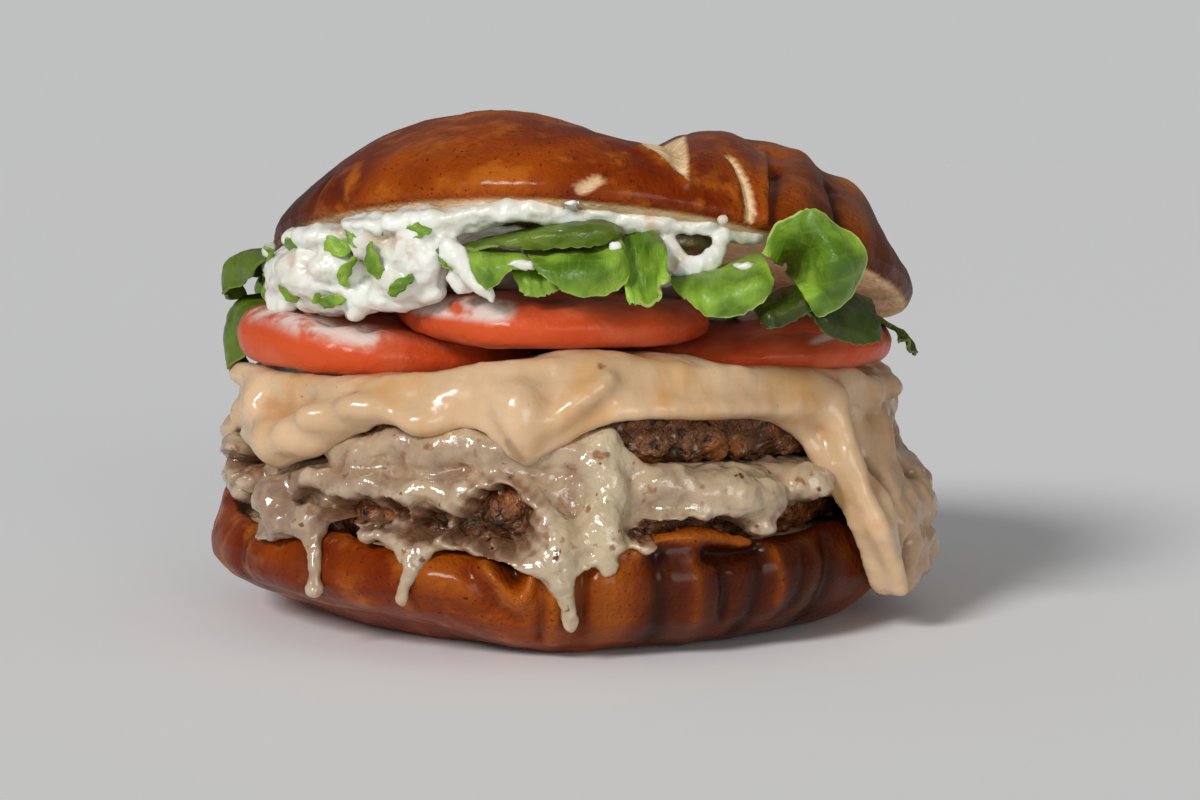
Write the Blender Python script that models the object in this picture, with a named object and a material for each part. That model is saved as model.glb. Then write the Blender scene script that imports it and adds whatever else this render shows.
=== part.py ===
"""Double cheeseburger in a pretzel style bun, at real size.

The layers stand on top of each other from the heel up: lower patty, lower cheese,
upper patty, upper cheese, four tomato slices, lettuce leaves, a pickle chip, white
sauce and the crown. Each layer is one closed solid in a named node, with a gap of a
few tenths of a millimetre to its neighbours. The front is towards -Y, the heel's flat
foot lies on z = 0 round the origin, and the crown leans back and to the right.
"""
import math

import bmesh
import bpy
from mathutils import Matrix, Vector, noise

MM = 0.001
AROUND = 60
GAP = 0.4

# Heel
FOOT_RADIUS = 39.0
HEEL_SEAT = 16.0
HEEL_PROFILE = ((45.6, 0.7), (51.0, 2.9), (55.2, 6.0), (57.4, 9.8), (57.6, 13.0), (56.8, 15.2))
HEEL_RIM_RADIUS = 54.7
HEEL_INNER_RADIUS = 52.0
HEEL_RIM_HEIGHT = (
    (0, 19.5), (30, 18.0), (60, 20.0), (90, 18.5), (120, 20.0), (150, 18.5), (180, 20.6),
    (200, 18.0), (216, 16.4), (231, 19.0), (244, 17.0), (272, 16.5), (285, 19.8),
    (294, 20.8), (305, 17.6), (330, 18.7),
)
HEEL_EDGE_LIFT = (
    (0, 0.0), (198, 0.0), (220, 1.9), (246, 2.4), (260, 0.7), (268, 0.0), (290, 0.5), (320, 0.8), (340, 0.0),
)
PLEATS = ((267, 1.4), (281, -0.9), (292, 0.7), (302, -1.2), (312, 0.8), (322, -0.9), (60, 0.8), (130, -0.8))
PLEAT_WIDTH = 6.0

# Patties
PATTY_RADIUS = 50.2
LOWER_PATTY = (16.4, 27.2)
UPPER_PATTY = (29.2, 37.8)
PATTY_CRAG = 1.1

# Cheese
LOWER_SHEET = (27.6, 28.8)
UPPER_SHEET = (38.2, 41.0)
LOWER_END = (
    (0, 21.0), (30, 19.0), (50, 21.5), (75, 17.0), (95, 20.0), (120, 17.5), (140, 21.5),
    (165, 20.0), (180, 23.5), (200, 23.5), (210, 20.0), (217, 16.0), (224, 16.5),
    (233, 21.0), (240, 18.6), (256, 17.8), (266, 15.6), (272, 13.5), (278, 16.0),
    (287, 20.8), (300, 21.0), (312, 19.6), (330, 21.5),
)
UPPER_END = (
    (0, 6.0), (18, 7.5), (27, 18.0), (35, 32.0), (60, 35.0), (76, 30.0), (90, 28.0),
    (106, 33.5), (130, 35.5), (150, 29.0), (166, 33.0), (180, 27.0), (196, 32.0),
    (208, 29.0), (216, 26.4), (229, 30.5), (238, 35.5), (248, 35.2), (256, 36.3),
    (262, 31.5), (267, 29.6), (274, 34.6), (282, 37.0), (300, 36.4), (315, 34.6),
    (321, 28.0), (325, 14.0), (330, 6.5), (345, 5.5),
)
HEEL_GAP = 0.7
LOWER_THICKNESS = 1.9
UPPER_THICKNESS = 2.6
CURTAIN_END = 25.0
CURTAIN_TOUCH = 19.0
CURTAIN_SWELL = ((0, 3.0), (20, 2.0), (40, 0.0), (310, 0.0), (335, 2.0))
KNOB_ANGLE = 180.0
KNOB_HEIGHT = 29.5
KNOB_SWELL = 3.0
RIM_SWELL = (
    (0, 0.1), (90, 0.2), (180, 0.1), (215, 0.0), (240, 0.2), (256, 2.4), (275, 3.4),
    (292, 2.8), (306, 0.6), (330, 0.0),
)
SKIRT_RINGS = 4

# Tomato slices: middle x and y, radius
TOMATO_LEFT = (-27.0, -14.0, 24.6)
TOMATO_CENTRE = (0.2, -25.0, 25.4)
TOMATO_RIGHT = (31.5, -12.0, 24.0)
TOMATO_BACK = (2.0, 22.0, 20.0)
TOMATO_AROUND = 32
CENTRE_SLICE = (46.9, 53.2)
CENTRE_SLOPE = 0.085

# Crown
CROWN_MIDDLE = (5.9, 0.0, 53.8)
CROWN_LEAN_BACK = math.radians(-12.5)
CROWN_ROLL = math.radians(5.0)
CROWN_RADIUS = 54.0
CROWN_HEIGHT = 25.8
CROWN_LIP = 2.2
CROWN_BEND_FRONT = 0.0014
CROWN_BEND_BACK = 0.0007
CROWN_STEPS = (1.0, 0.985, 0.955, 0.905, 0.84, 0.755, 0.65, 0.53, 0.40, 0.27, 0.13)
SCORE_FROM = (-8.0, 30.0)
SCORE_TO = (10.0, -40.0)
SCORE_DEPTH = 9.2
SCORE_WIDTHS = (15.0, 7.5)
CREASES = (((26.5, -12.0), (29.5, -49.0), 3.6, 3.2), ((36.0, -6.0), (43.0, -36.0), 2.2, 3.4))

# Sauce
SAUCE_REACH = (
    (0, 40.0), (45, 38.0), (90, 30.0), (135, 37.0), (180, 40.5), (200, 41.0), (212, 49.0),
    (226, 47.5), (236, 48.5), (247, 46.5), (258, 44.0), (280, 42.5), (290, 36.0), (303, 35.5),
    (312, 40.0), (330, 38.0),
)
SAUCE_BAND = 2.4
SAUCE_TO_CROWN = 0.8
SAUCE_BASE = 45.7
SAUCE_ON_LEAF = 55.0

# Leaves
LEAF_THICKNESS = 0.8

# Pickle chip
CHIP_MIDDLE = (19.2, -39.5, 61.7)
CHIP_RADIUS = 6.4
CHIP_THICKNESS = 2.4


def clear_scene():
    for item in list(bpy.data.objects):
        bpy.data.objects.remove(item, do_unlink=True)


def material(name, colour, roughness):
    skin = bpy.data.materials.new(name)
    skin.use_nodes = True
    shader = skin.node_tree.nodes["Principled BSDF"]
    shader.inputs["Base Color"].default_value = (*colour, 1.0)
    shader.inputs["Roughness"].default_value = roughness
    skin.diffuse_color = (*colour, 1.0)
    return skin


def finish(name, points, faces, skin):
    mesh = bpy.data.meshes.new(name)
    mesh.from_pydata([Vector(point) * MM for point in points], [], faces)
    work = bmesh.new()
    work.from_mesh(mesh)
    bmesh.ops.recalc_face_normals(work, faces=work.faces)
    if work.calc_volume(signed=True) < 0.0:
        bmesh.ops.reverse_faces(work, faces=work.faces)
    work.to_mesh(mesh)
    work.free()
    for face in mesh.polygons:
        face.use_smooth = True
    mesh.materials.append(skin)
    item = bpy.data.objects.new(name, mesh)
    bpy.context.collection.objects.link(item)
    return item


def round_solid(name, rings, skin):
    """A closed body of rings; the first and last are single points."""
    points = [rings[0]]
    starts = []
    for ring in rings[1:-1]:
        starts.append(len(points))
        points.extend(ring)
    points.append(rings[-1])
    count = len(rings[1])
    last = len(points) - 1
    faces = []
    for step in range(count):
        following = (step + 1) % count
        faces.append((0, starts[0] + following, starts[0] + step))
        faces.append((last, starts[-1] + step, starts[-1] + following))
        for low, high in zip(starts, starts[1:]):
            corners = (low + step, low + following, high + following, high + step)
            faces.append((corners[0], corners[1], corners[2]))
            faces.append((corners[0], corners[2], corners[3]))
    return finish(name, points, faces, skin)


def sheet_solid(name, surface, across, along, thickness, skin):
    """A thin wavy body; both faces are split into triangles alike."""
    step_u = 0.5 / across
    step_v = 0.5 / along
    upper = []
    lower = []
    for i in range(across + 1):
        for j in range(along + 1):
            u = i / across
            v = j / along
            middle = surface(u, v)
            slope_u = surface(min(u + step_u, 1.0), v) - surface(max(u - step_u, 0.0), v)
            slope_v = surface(u, min(v + step_v, 1.0)) - surface(u, max(v - step_v, 0.0))
            normal = slope_u.cross(slope_v).normalized()
            upper.append(middle + normal * (thickness / 2))
            lower.append(middle - normal * (thickness / 2))
    size = (across + 1) * (along + 1)
    faces = []
    for i in range(across):
        for j in range(along):
            a = i * (along + 1) + j
            b = a + along + 1
            for one, two, three in ((a, b, b + 1), (a, b + 1, a + 1)):
                faces.append((one, two, three))
                faces.append((size + one, size + three, size + two))
    edge = [i * (along + 1) for i in range(across + 1)]
    edge += [across * (along + 1) + j for j in range(1, along + 1)]
    edge += [i * (along + 1) + along for i in range(across - 1, -1, -1)]
    edge += list(range(along - 1, 0, -1))
    for one, two in zip(edge, edge[1:] + edge[:1]):
        faces.append((one, size + one, size + two))
        faces.append((one, size + two, two))
    return finish(name, upper + lower, faces, skin)


def eased(low, high, share):
    share = min(max(share, 0.0), 1.0)
    return low + (high - low) * share * share * (3.0 - 2.0 * share)


def around(table, degrees):
    """The value of a table of (angle, value) pairs, eased between its entries."""
    degrees = degrees % 360.0
    for (a, value_a), (b, value_b) in zip(table, table[1:] + ((table[0][0] + 360.0, table[0][1]),)):
        if a <= degrees <= b:
            return eased(value_a, value_b, (degrees - a) / (b - a))
    return table[0][1]


def along_path(path, share):
    """A point on a smooth curve through evenly spaced (radius, height) points."""
    spans = len(path) - 1
    place = min(share * spans, spans - 1e-6)
    first = int(place)
    t = place - first
    before = path[max(first - 1, 0)]
    after = path[min(first + 2, spans)]
    result = []
    for axis in (0, 1):
        p1 = path[first][axis]
        p2 = path[first + 1][axis]
        m1 = (p2 - before[axis]) / 2
        m2 = (after[axis] - p1) / 2
        value = (2 * t**3 - 3 * t**2 + 1) * p1 + (t**3 - 2 * t**2 + t) * m1
        result.append(value + (3 * t**2 - 2 * t**3) * p2 + (t**3 - t**2) * m2)
    return result


def degrees_round(count):
    return [360.0 * step / count for step in range(count)]


def place(radius, degrees, height):
    angle = math.radians(degrees)
    return Vector((radius * math.cos(angle), radius * math.sin(angle), height))


def angle_between(a, b):
    return abs((a - b + 180.0) % 360.0 - 180.0)


def lumps(degrees, height, seed, size):
    spot = place(1.0, degrees, 0.0) * 5.0 + Vector((seed, seed * 0.7, height * 0.16))
    return size * noise.noise(spot)


# Heel
def pleat(degrees):
    return sum(size * math.exp(-((angle_between(degrees, at) / PLEAT_WIDTH) ** 2)) for at, size in PLEATS)


def heel_radius(degrees, height):
    """The heel's outer radius at a height, to its rim."""
    rim = around(HEEL_RIM_HEIGHT, degrees)
    profile = ((FOOT_RADIUS, 0.0),) + HEEL_PROFILE
    profile += ((HEEL_RIM_RADIUS + 1.0, rim - 0.7), (HEEL_RIM_RADIUS, rim))
    if height >= rim:
        return HEEL_RIM_RADIUS
    for (r0, z0), (r1, z1) in zip(profile, profile[1:]):
        if z0 <= height <= z1:
            return r0 + (r1 - r0) * (height - z0) / (z1 - z0) + pleat(degrees) * min(height / 8.0, 1.0)
    return HEEL_RIM_RADIUS


def make_heel(skin):
    angles = degrees_round(AROUND)
    rings = [Vector((0.0, 0.0, 0.0)), [place(FOOT_RADIUS, a, 0.0) for a in angles]]
    for radius, height in HEEL_PROFILE:
        swell = min(height / 8.0, 1.0)
        lift = 1.0 - height / HEEL_PROFILE[-1][1]
        rings.append([
            place(radius + pleat(a) * swell, a, height + around(HEEL_EDGE_LIFT, a) * lift) for a in angles
        ])
    shoulder = []
    rim = []
    inner = []
    for a in angles:
        top = around(HEEL_RIM_HEIGHT, a)
        below_rim = max(top - 0.9, HEEL_PROFILE[-1][1] + 0.4)
        shoulder.append(place(HEEL_RIM_RADIUS + 0.8 + pleat(a) * 0.5, a, below_rim))
        rim.append(place(HEEL_RIM_RADIUS - 0.9, a, top))
        inner.append(place(HEEL_INNER_RADIUS, a, HEEL_SEAT))
    rings += [shoulder, rim, inner, Vector((0.0, 0.0, HEEL_SEAT))]
    return round_solid("bun_heel", rings, skin)


# Patties
def patty_radius(degrees, seed):
    return PATTY_RADIUS + 0.5 * math.sin(math.radians(degrees * 3 + seed * 40)) + lumps(degrees, 0.0, seed, 1.2)


def make_patty(name, levels, seed, skin):
    low, high = levels
    thick = high - low
    angles = degrees_round(AROUND)
    rows = ((-3.2, 0.0), (-0.9, 0.14), (0.0, 0.38), (-0.2, 0.64), (-1.1, 0.88), (-3.4, 1.0))
    rings = [Vector((0.0, 0.0, low))]
    for inset, share in rows:
        height = low + thick * share
        crag = PATTY_CRAG * math.sin(math.pi * share)
        rings.append([
            place(patty_radius(a, seed) + inset - abs(lumps(a * 2.7, height * 4.0, seed + 3.0, crag)), a, height)
            for a in angles
        ])
    rings.append(Vector((0.0, 0.0, high)))
    return round_solid(name, rings, skin)


# Cheese
def lower_support(degrees, height):
    """The radius that the lower cheese hangs round: patty above, heel below."""
    rim = around(HEEL_RIM_HEIGHT, degrees)
    patty = patty_radius(degrees, 1.0) + GAP
    heel = max(heel_radius(degrees, min(height + step, rim)) for step in (-1.0, 0.0, 1.0, 2.0)) + HEEL_GAP
    return eased(heel, patty, (height - rim - 0.6) / 3.0)


def lower_outer(degrees, height):
    wave = lumps(degrees * 2.0, height * 2.0, 9.0, 0.9)
    return lower_support(degrees, height) + LOWER_THICKNESS + wave


def upper_support(degrees, height):
    """The radius that the upper cheese hangs round at a height."""
    patty = patty_radius(degrees, 2.0) + GAP
    end = around(LOWER_END, degrees)
    if height > LOWER_SHEET[1] + 3.0:
        return patty
    reach = 0.0
    if min(around(UPPER_END, degrees + side) for side in (-6.0, 0.0, 6.0)) < CURTAIN_END:
        heel = max(heel_radius(degrees + side, 12.0) for side in (-6.0, 0.0, 6.0))
        reach = eased(heel, patty, (height - CURTAIN_TOUCH) / 12.0)
    for step in (-2.5, -1.0, 0.0, 1.0, 2.5):
        level = height + step
        if level > LOWER_SHEET[1] + 0.4:
            reach = max(reach, patty_radius(degrees, 2.0))
        elif level > end - 1.6:
            reach = max(reach, lower_outer(degrees, level))
        else:
            reach = max(reach, heel_radius(degrees, max(level, 0.0)))
    return max(reach + GAP, patty)


def upper_thickness(degrees, height):
    knob = KNOB_SWELL * math.exp(
        -((angle_between(degrees, KNOB_ANGLE) / 7.0) ** 2) - ((height - KNOB_HEIGHT) / 3.0) ** 2
    )
    swell = around(CURTAIN_SWELL, degrees)
    wave = lumps(degrees * 2.0, height * 2.5, 21.0, 1.2)
    return UPPER_THICKNESS + knob + swell + wave * (1.0 + 0.6 * swell)


def drape(name, sheet, support, outer, end, rise, skin):
    """A melted slice: a sheet on the patty and a skirt down its side."""
    low, high = sheet
    angles = degrees_round(AROUND)

    def skirt_height(a, share, top):
        return top + (around(end, a) - top) * share

    def edge_radius(a):
        return support(a, low - 1.4)

    rings = [Vector((0.0, 0.0, low))]
    rings.append([place(edge_radius(a) - 2.2, a, low) for a in angles])
    inner = []
    outside = []
    for step in range(SKIRT_RINGS + 1):
        share = step / SKIRT_RINGS
        row_in = []
        row_out = []
        for a in angles:
            height = skirt_height(a, share, low - 1.4)
            row_in.append(place(support(a, height), a, height))
            swell = outer(a, height) - support(a, height)
            taper = 1.0 if step < SKIRT_RINGS else 0.75
            row_out.append(place(support(a, height) + swell * taper, a, height))
        inner.append(row_in)
        outside.append(row_out)
    rings += inner
    lip = []
    for a in angles:
        height = around(end, a)
        swell = outer(a, height) - support(a, height)
        lip.append(place(support(a, height) + swell * 0.45, a, height - 0.8))
    rings.append(lip)
    rings += outside[::-1]
    middle = (low + high) / 2
    rings.append([place(outer(a, middle) - 0.5, a, middle + 0.7 * around(rise, a)) for a in angles])
    rings.append([place(edge_radius(a) - 1.4, a, high + around(rise, a)) for a in angles])
    rings.append([place(edge_radius(a) - 8.5, a, high) for a in angles])
    rings.append(Vector((0.0, 0.0, high)))
    return round_solid(name, rings, skin)


# Tomato slices
def left_floor(x, y):
    return 41.5 + 0.045 * max(y + 38.0, 0.0) + 0.03 * max(-28.0 - x, 0.0)


def left_top(x, y):
    return 46.2 + 0.11 * max(-3.0 - x, 0.0) + 0.02 * (y + 14.0)


def centre_floor(x, y):
    return max(CENTRE_SLICE[0], left_top(x, y) + 0.6)


def centre_top(x, y):
    return CENTRE_SLICE[1] + 0.04 * max(-x, 0.0) - CENTRE_SLOPE * max(y + 42.0, 0.0)


def right_floor(x, y):
    return 42.2 + 0.04 * max(38.0 - x, 0.0)


def right_top(x, y):
    return 46.3 + 0.09 * max(x - 26.0, 0.0)


def back_floor(x, y):
    return 41.7


def back_top(x, y):
    return 44.8


def make_tomato(name, slice_size, floor, top, seed, skin):
    middle_x, middle_y, radius = slice_size
    rows = ((-1.5, 0.0), (-0.3, 0.2), (0.2, 0.5), (-0.3, 0.8), (-1.5, 1.0))
    rings = [Vector((middle_x, middle_y, floor(middle_x, middle_y)))]
    for inset, share in ((-radius * 0.5, 0.0),) + rows + ((-radius * 0.5, 1.0),):
        ring = []
        for a in degrees_round(TOMATO_AROUND):
            reach = radius + inset - 0.6 * abs(math.sin(math.radians(a * 2.5 + seed * 50)))
            x = middle_x + reach * math.cos(math.radians(a))
            y = middle_y + reach * math.sin(math.radians(a))
            ring.append(Vector((x, y, floor(x, y) + (top(x, y) - floor(x, y)) * share)))
        rings.append(ring)
    rings.append(Vector((middle_x, middle_y, top(middle_x, middle_y))))
    return round_solid(name, rings, skin)


# Crown
def crown_matrix():
    turn = Matrix.Rotation(CROWN_LEAN_BACK, 4, "X") @ Matrix.Rotation(CROWN_ROLL, 4, "Y")
    return Matrix.Translation(Vector(CROWN_MIDDLE)) @ turn


def crown_bend(y):
    """The crown is bent upwards towards its front, and a little to its back."""
    return (CROWN_BEND_FRONT if y < 0.0 else CROWN_BEND_BACK) * y * y


def crown_plane(x, y):
    """The height of the crown's cut underside over a place."""
    matrix = crown_matrix()
    normal = matrix.to_3x3() @ Vector((0.0, 0.0, 1.0))
    middle = Vector(CROWN_MIDDLE)
    flat = middle.z - (normal.x * (x - middle.x) + normal.y * (y - middle.y)) / normal.z
    return flat + crown_bend(y)


def groove(x, y, start, stop, depth, widths):
    """A furrow along a line; its left and right flanks have their own widths."""
    ax, ay = start
    bx, by = stop
    length = math.hypot(bx - ax, by - ay)
    t = ((x - ax) * (bx - ax) + (y - ay) * (by - ay)) / (length * length)
    inside = min(max(t, 0.0), 1.0)
    away = math.hypot(x - ax - (bx - ax) * inside, y - ay - (by - ay) * inside)
    to_right = (bx - ax) * (y - ay) - (by - ay) * (x - ax) > 0.0
    fade = math.sin(math.pi * (0.12 + 0.76 * inside))
    return depth * fade * math.exp(-((away / widths[1 if to_right else 0]) ** 2))


def crown_height(x, y):
    share = min(math.hypot(x, y) / CROWN_RADIUS, 1.0)
    height = CROWN_LIP + CROWN_HEIGHT * (1.0 - share * share) ** 0.62
    height += 2.0 * math.exp(-(((x - 36.0) / 14.0) ** 2) - (((y + 2.0) / 26.0) ** 2)) * (1.0 - share**6)
    height -= groove(x, y, SCORE_FROM, SCORE_TO, SCORE_DEPTH, SCORE_WIDTHS) * (1.0 - share**8)
    for start, stop, depth, width in CREASES:
        height -= groove(x, y, start, stop, depth, (width, width)) * (1.0 - share**8)
    return max(height, CROWN_LIP)


def make_crown(skin):
    matrix = crown_matrix()
    angles = degrees_round(AROUND)
    rings = [Vector((0.0, 0.0, 0.0))]
    rings.append([place(CROWN_RADIUS * 0.5, a, 0.0) for a in angles])
    rings.append([place(CROWN_RADIUS * 0.955, a, 0.0) for a in angles])
    rings.append([place(CROWN_RADIUS * 0.992, a, 0.9) for a in angles])
    for share in CROWN_STEPS:
        ring = []
        for a in angles:
            spot = place(CROWN_RADIUS * share, a, 0.0)
            ring.append(Vector((spot.x, spot.y, crown_height(spot.x, spot.y))))
        rings.append(ring)
    rings.append(Vector((0.0, 0.0, crown_height(0.0, 0.0))))

    def bent(point):
        return matrix @ (point + Vector((0.0, 0.0, crown_bend(point.y))))

    placed = [bent(rings[0])]
    placed += [[bent(point) for point in ring] for ring in rings[1:-1]]
    placed.append(bent(rings[-1]))
    return round_solid("bun_crown", placed, skin)


# Sauce
def near_slice(x, y, slice_size):
    """One over a slice and a little past its edge, easing to nothing further out."""
    middle_x, middle_y, radius = slice_size
    return eased(1.0, 0.0, (math.hypot(x - middle_x, y - middle_y) - radius - 3.5) / 5.0)


def sauce_floor(x, y):
    """The sauce lies on the slices, and round the front on the leaf."""
    angle = math.degrees(math.atan2(y, x)) % 360.0
    reach = math.hypot(x, y)
    filling = SAUCE_BASE + (left_top(x, y) + 1.0 - SAUCE_BASE) * near_slice(x, y, TOMATO_LEFT)
    filling = max(filling, SAUCE_BASE + (right_top(x, y) + 1.2 - SAUCE_BASE) * near_slice(x, y, TOMATO_RIGHT))
    on_centre = eased(centre_top(x, y) + 0.9, SAUCE_ON_LEAF, (reach - 24.0) / 6.0)
    filling = max(filling, SAUCE_BASE + (on_centre - SAUCE_BASE) * near_slice(x, y, TOMATO_CENTRE))
    front = eased(0.0, 1.0, (angle - 243.0) / 7.0) * eased(1.0, 0.0, (angle - 352.0) / 8.0)
    lift = front * eased(0.0, 1.0, (reach - 33.0) / 6.0)
    return filling + (crown_plane(x, y) - SAUCE_TO_CROWN - SAUCE_BAND - filling) * lift


def make_sauce(skin):
    angles = degrees_round(AROUND)

    def spot(a, share, level):
        flat = place(around(SAUCE_REACH, a) * share, a, 0.0)
        top = crown_plane(flat.x, flat.y) - SAUCE_TO_CROWN
        floor = min(sauce_floor(flat.x, flat.y), top - 1.0)
        return Vector((flat.x, flat.y, floor + (top - floor) * level))

    rings = [spot(0.0, 0.0, 0.0)]
    under = tuple((share, 0.0) for share in (0.3, 0.52, 0.7, 0.85, 0.95))
    for share, level in under + ((0.99, 0.25), (1.0, 0.55), (0.97, 0.9), (0.9, 1.0)):
        rings.append([spot(a, share, level) for a in angles])
    rings.append(spot(0.0, 0.0, 1.0))
    return round_solid("sauce", rings, skin)


# Leaves
def leaf_surface(first, last, path, rim, waves, swing):
    """A ruffled sheet: path is radius and height from its root to its rim.

    rim gives extra (radius, height) at the rim along the leaf, waves the number of
    ruffles and swing their reach outwards and up.
    """
    def surface(u, v):
        radius, height = along_path(path, v)
        more_radius, more_height = rim(u)
        grow = v * v
        turn = 2.0 * math.pi * waves * u
        radius += grow * (more_radius + swing[0] * math.sin(turn))
        height += grow * (more_height + swing[1] * math.cos(turn * 1.13 + 0.6))
        return place(radius, first + (last - first) * u, height)

    return surface


def make_leaves(skin, dark):
    front = leaf_surface(
        251.0, 301.5,
        ((33.0, 53.8), (38.5, 54.4), (43.2, 56.2), (47.2, 60.0), (51.0, 60.9), (53.0, 57.6), (52.6, 53.6)),
        lambda u: (0.0, eased(1.8, -2.6, u)), 3.5, (2.6, 2.0),
    )
    sheet_solid("lettuce_front", front, 32, 8, LEAF_THICKNESS, skin)
    fold = leaf_surface(
        253.0, 283.0, ((47.0, 64.1), (50.0, 65.5), (53.0, 65.6), (55.6, 63.6)),
        lambda u: (-1.5 * abs(u - 0.5), -1.6 * u), 1.5, (0.8, 0.7),
    )
    sheet_solid("lettuce_fold", fold, 16, 4, LEAF_THICKNESS, skin)
    curl = leaf_surface(
        303.5, 321.5, ((46.0, 57.4), (52.0, 56.8), (58.0, 57.6), (61.6, 61.8), (61.8, 67.4)),
        lambda u: (-3.0 * abs(u - 0.5), 2.0 - 12.0 * (u - 0.45) ** 2), 1.5, (1.2, 0.6),
    )
    sheet_solid("lettuce_curl", curl, 12, 8, LEAF_THICKNESS, skin)
    right = leaf_surface(
        306.5, 337.0, ((43.8, 51.4), (48.0, 53.0), (53.0, 54.0), (58.0, 52.6), (60.0, 49.2)),
        lambda u: (-0.6, -0.6 * u), 2.5, (1.2, 1.5),
    )
    sheet_solid("lettuce_right", right, 18, 6, LEAF_THICKNESS, dark)
    left = leaf_surface(
        162.0, 199.0, ((43.5, 53.0), (48.5, 53.6), (53.0, 56.4), (55.8, 56.6), (56.2, 50.0), (55.9, 41.5)),
        lambda u: (0.8 * u, 16.0 * (u - 0.5) ** 2), 3.0, (0.7, 0.8),
    )
    sheet_solid("lettuce_left", left, 18, 8, LEAF_THICKNESS, dark)
    back = leaf_surface(
        84.0, 146.0, ((45.0, 43.0), (49.0, 42.6), (54.0, 42.4), (59.0, 44.4)),
        lambda u: (0.0, 0.0), 5.5, (1.8, 3.0),
    )
    sheet_solid("lettuce_back", back, 28, 4, LEAF_THICKNESS, skin)


def make_chip(skin):
    turn = Matrix.Rotation(math.radians(-19.0), 4, "X")
    matrix = Matrix.Translation(Vector(CHIP_MIDDLE)) @ turn
    half = CHIP_THICKNESS / 2
    rings = [matrix @ Vector((0.0, 0.0, -half))]
    for inset, height in ((0.5, -half), (0.0, -half * 0.5), (0.0, half * 0.5), (0.5, half)):
        rings.append([
            matrix @ place(CHIP_RADIUS - inset + 0.15 * math.cos(math.radians(a * 8)), a, height)
            for a in degrees_round(24)
        ])
    rings.append(matrix @ Vector((0.0, 0.0, half)))
    return round_solid("pickle_chip", rings, skin)


def main():
    clear_scene()
    crust = material("crust", (0.25, 0.052, 0.008), 0.32)
    meat = material("meat", (0.10, 0.036, 0.014), 0.6)
    pale_cheese = material("pale_cheese", (0.62, 0.42, 0.24), 0.3)
    clear_cheese = material("clear_cheese", (0.40, 0.30, 0.17), 0.25)
    tomato = material("tomato", (0.52, 0.08, 0.03), 0.3)
    leaf = material("leaf", (0.07, 0.15, 0.012), 0.45)
    dark_leaf = material("dark_leaf", (0.035, 0.075, 0.006), 0.5)
    sauce = material("sauce", (0.68, 0.68, 0.61), 0.3)
    pickle = material("pickle", (0.10, 0.07, 0.012), 0.35)
    make_heel(crust)
    make_patty("patty_lower", LOWER_PATTY, 1.0, meat)
    level = ((0, 0.0), (180, 0.0))
    drape("cheese_lower", LOWER_SHEET, lower_support, lower_outer, LOWER_END, level, clear_cheese)
    make_patty("patty_upper", UPPER_PATTY, 2.0, meat)

    def upper_outer(degrees, height):
        return upper_support(degrees, height) + upper_thickness(degrees, height)

    drape("cheese_upper", UPPER_SHEET, upper_support, upper_outer, UPPER_END, RIM_SWELL, pale_cheese)
    make_tomato("tomato_left", TOMATO_LEFT, left_floor, left_top, 1, tomato)
    make_tomato("tomato_centre", TOMATO_CENTRE, centre_floor, centre_top, 2, tomato)
    make_tomato("tomato_right", TOMATO_RIGHT, right_floor, right_top, 3, tomato)
    make_tomato("tomato_back", TOMATO_BACK, back_floor, back_top, 4, tomato)
    make_leaves(leaf, dark_leaf)
    make_chip(pickle)
    make_sauce(sauce)
    make_crown(crust)


main()
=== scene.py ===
import math

import bpy
import numpy as np
from mathutils import Matrix, Vector


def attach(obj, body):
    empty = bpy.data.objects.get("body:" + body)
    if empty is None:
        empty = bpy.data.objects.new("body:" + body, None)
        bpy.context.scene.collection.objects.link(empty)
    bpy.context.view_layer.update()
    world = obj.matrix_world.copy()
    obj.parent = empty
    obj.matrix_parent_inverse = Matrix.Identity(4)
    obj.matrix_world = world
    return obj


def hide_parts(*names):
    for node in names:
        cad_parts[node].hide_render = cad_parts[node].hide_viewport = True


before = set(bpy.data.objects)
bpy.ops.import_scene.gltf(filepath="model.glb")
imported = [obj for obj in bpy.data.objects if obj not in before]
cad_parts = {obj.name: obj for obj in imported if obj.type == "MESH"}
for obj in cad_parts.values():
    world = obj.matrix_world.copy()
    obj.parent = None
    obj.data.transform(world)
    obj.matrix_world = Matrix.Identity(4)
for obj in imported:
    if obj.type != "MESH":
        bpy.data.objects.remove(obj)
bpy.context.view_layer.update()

# Bottom bun. The lower half of a pretzel style roll: pale crumb inside and a thin glossy
# brown crust that is folded under the cheese at the front and pleated towards the right.
# One baked piece that stands on its flat foot and carries the whole stack.
MM = 0.001
BUN_GRAIN = 0.7
# Marks reach this far into a piece, so that they don't come out on its other side.
MARK_REACH = 6.0
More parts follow.
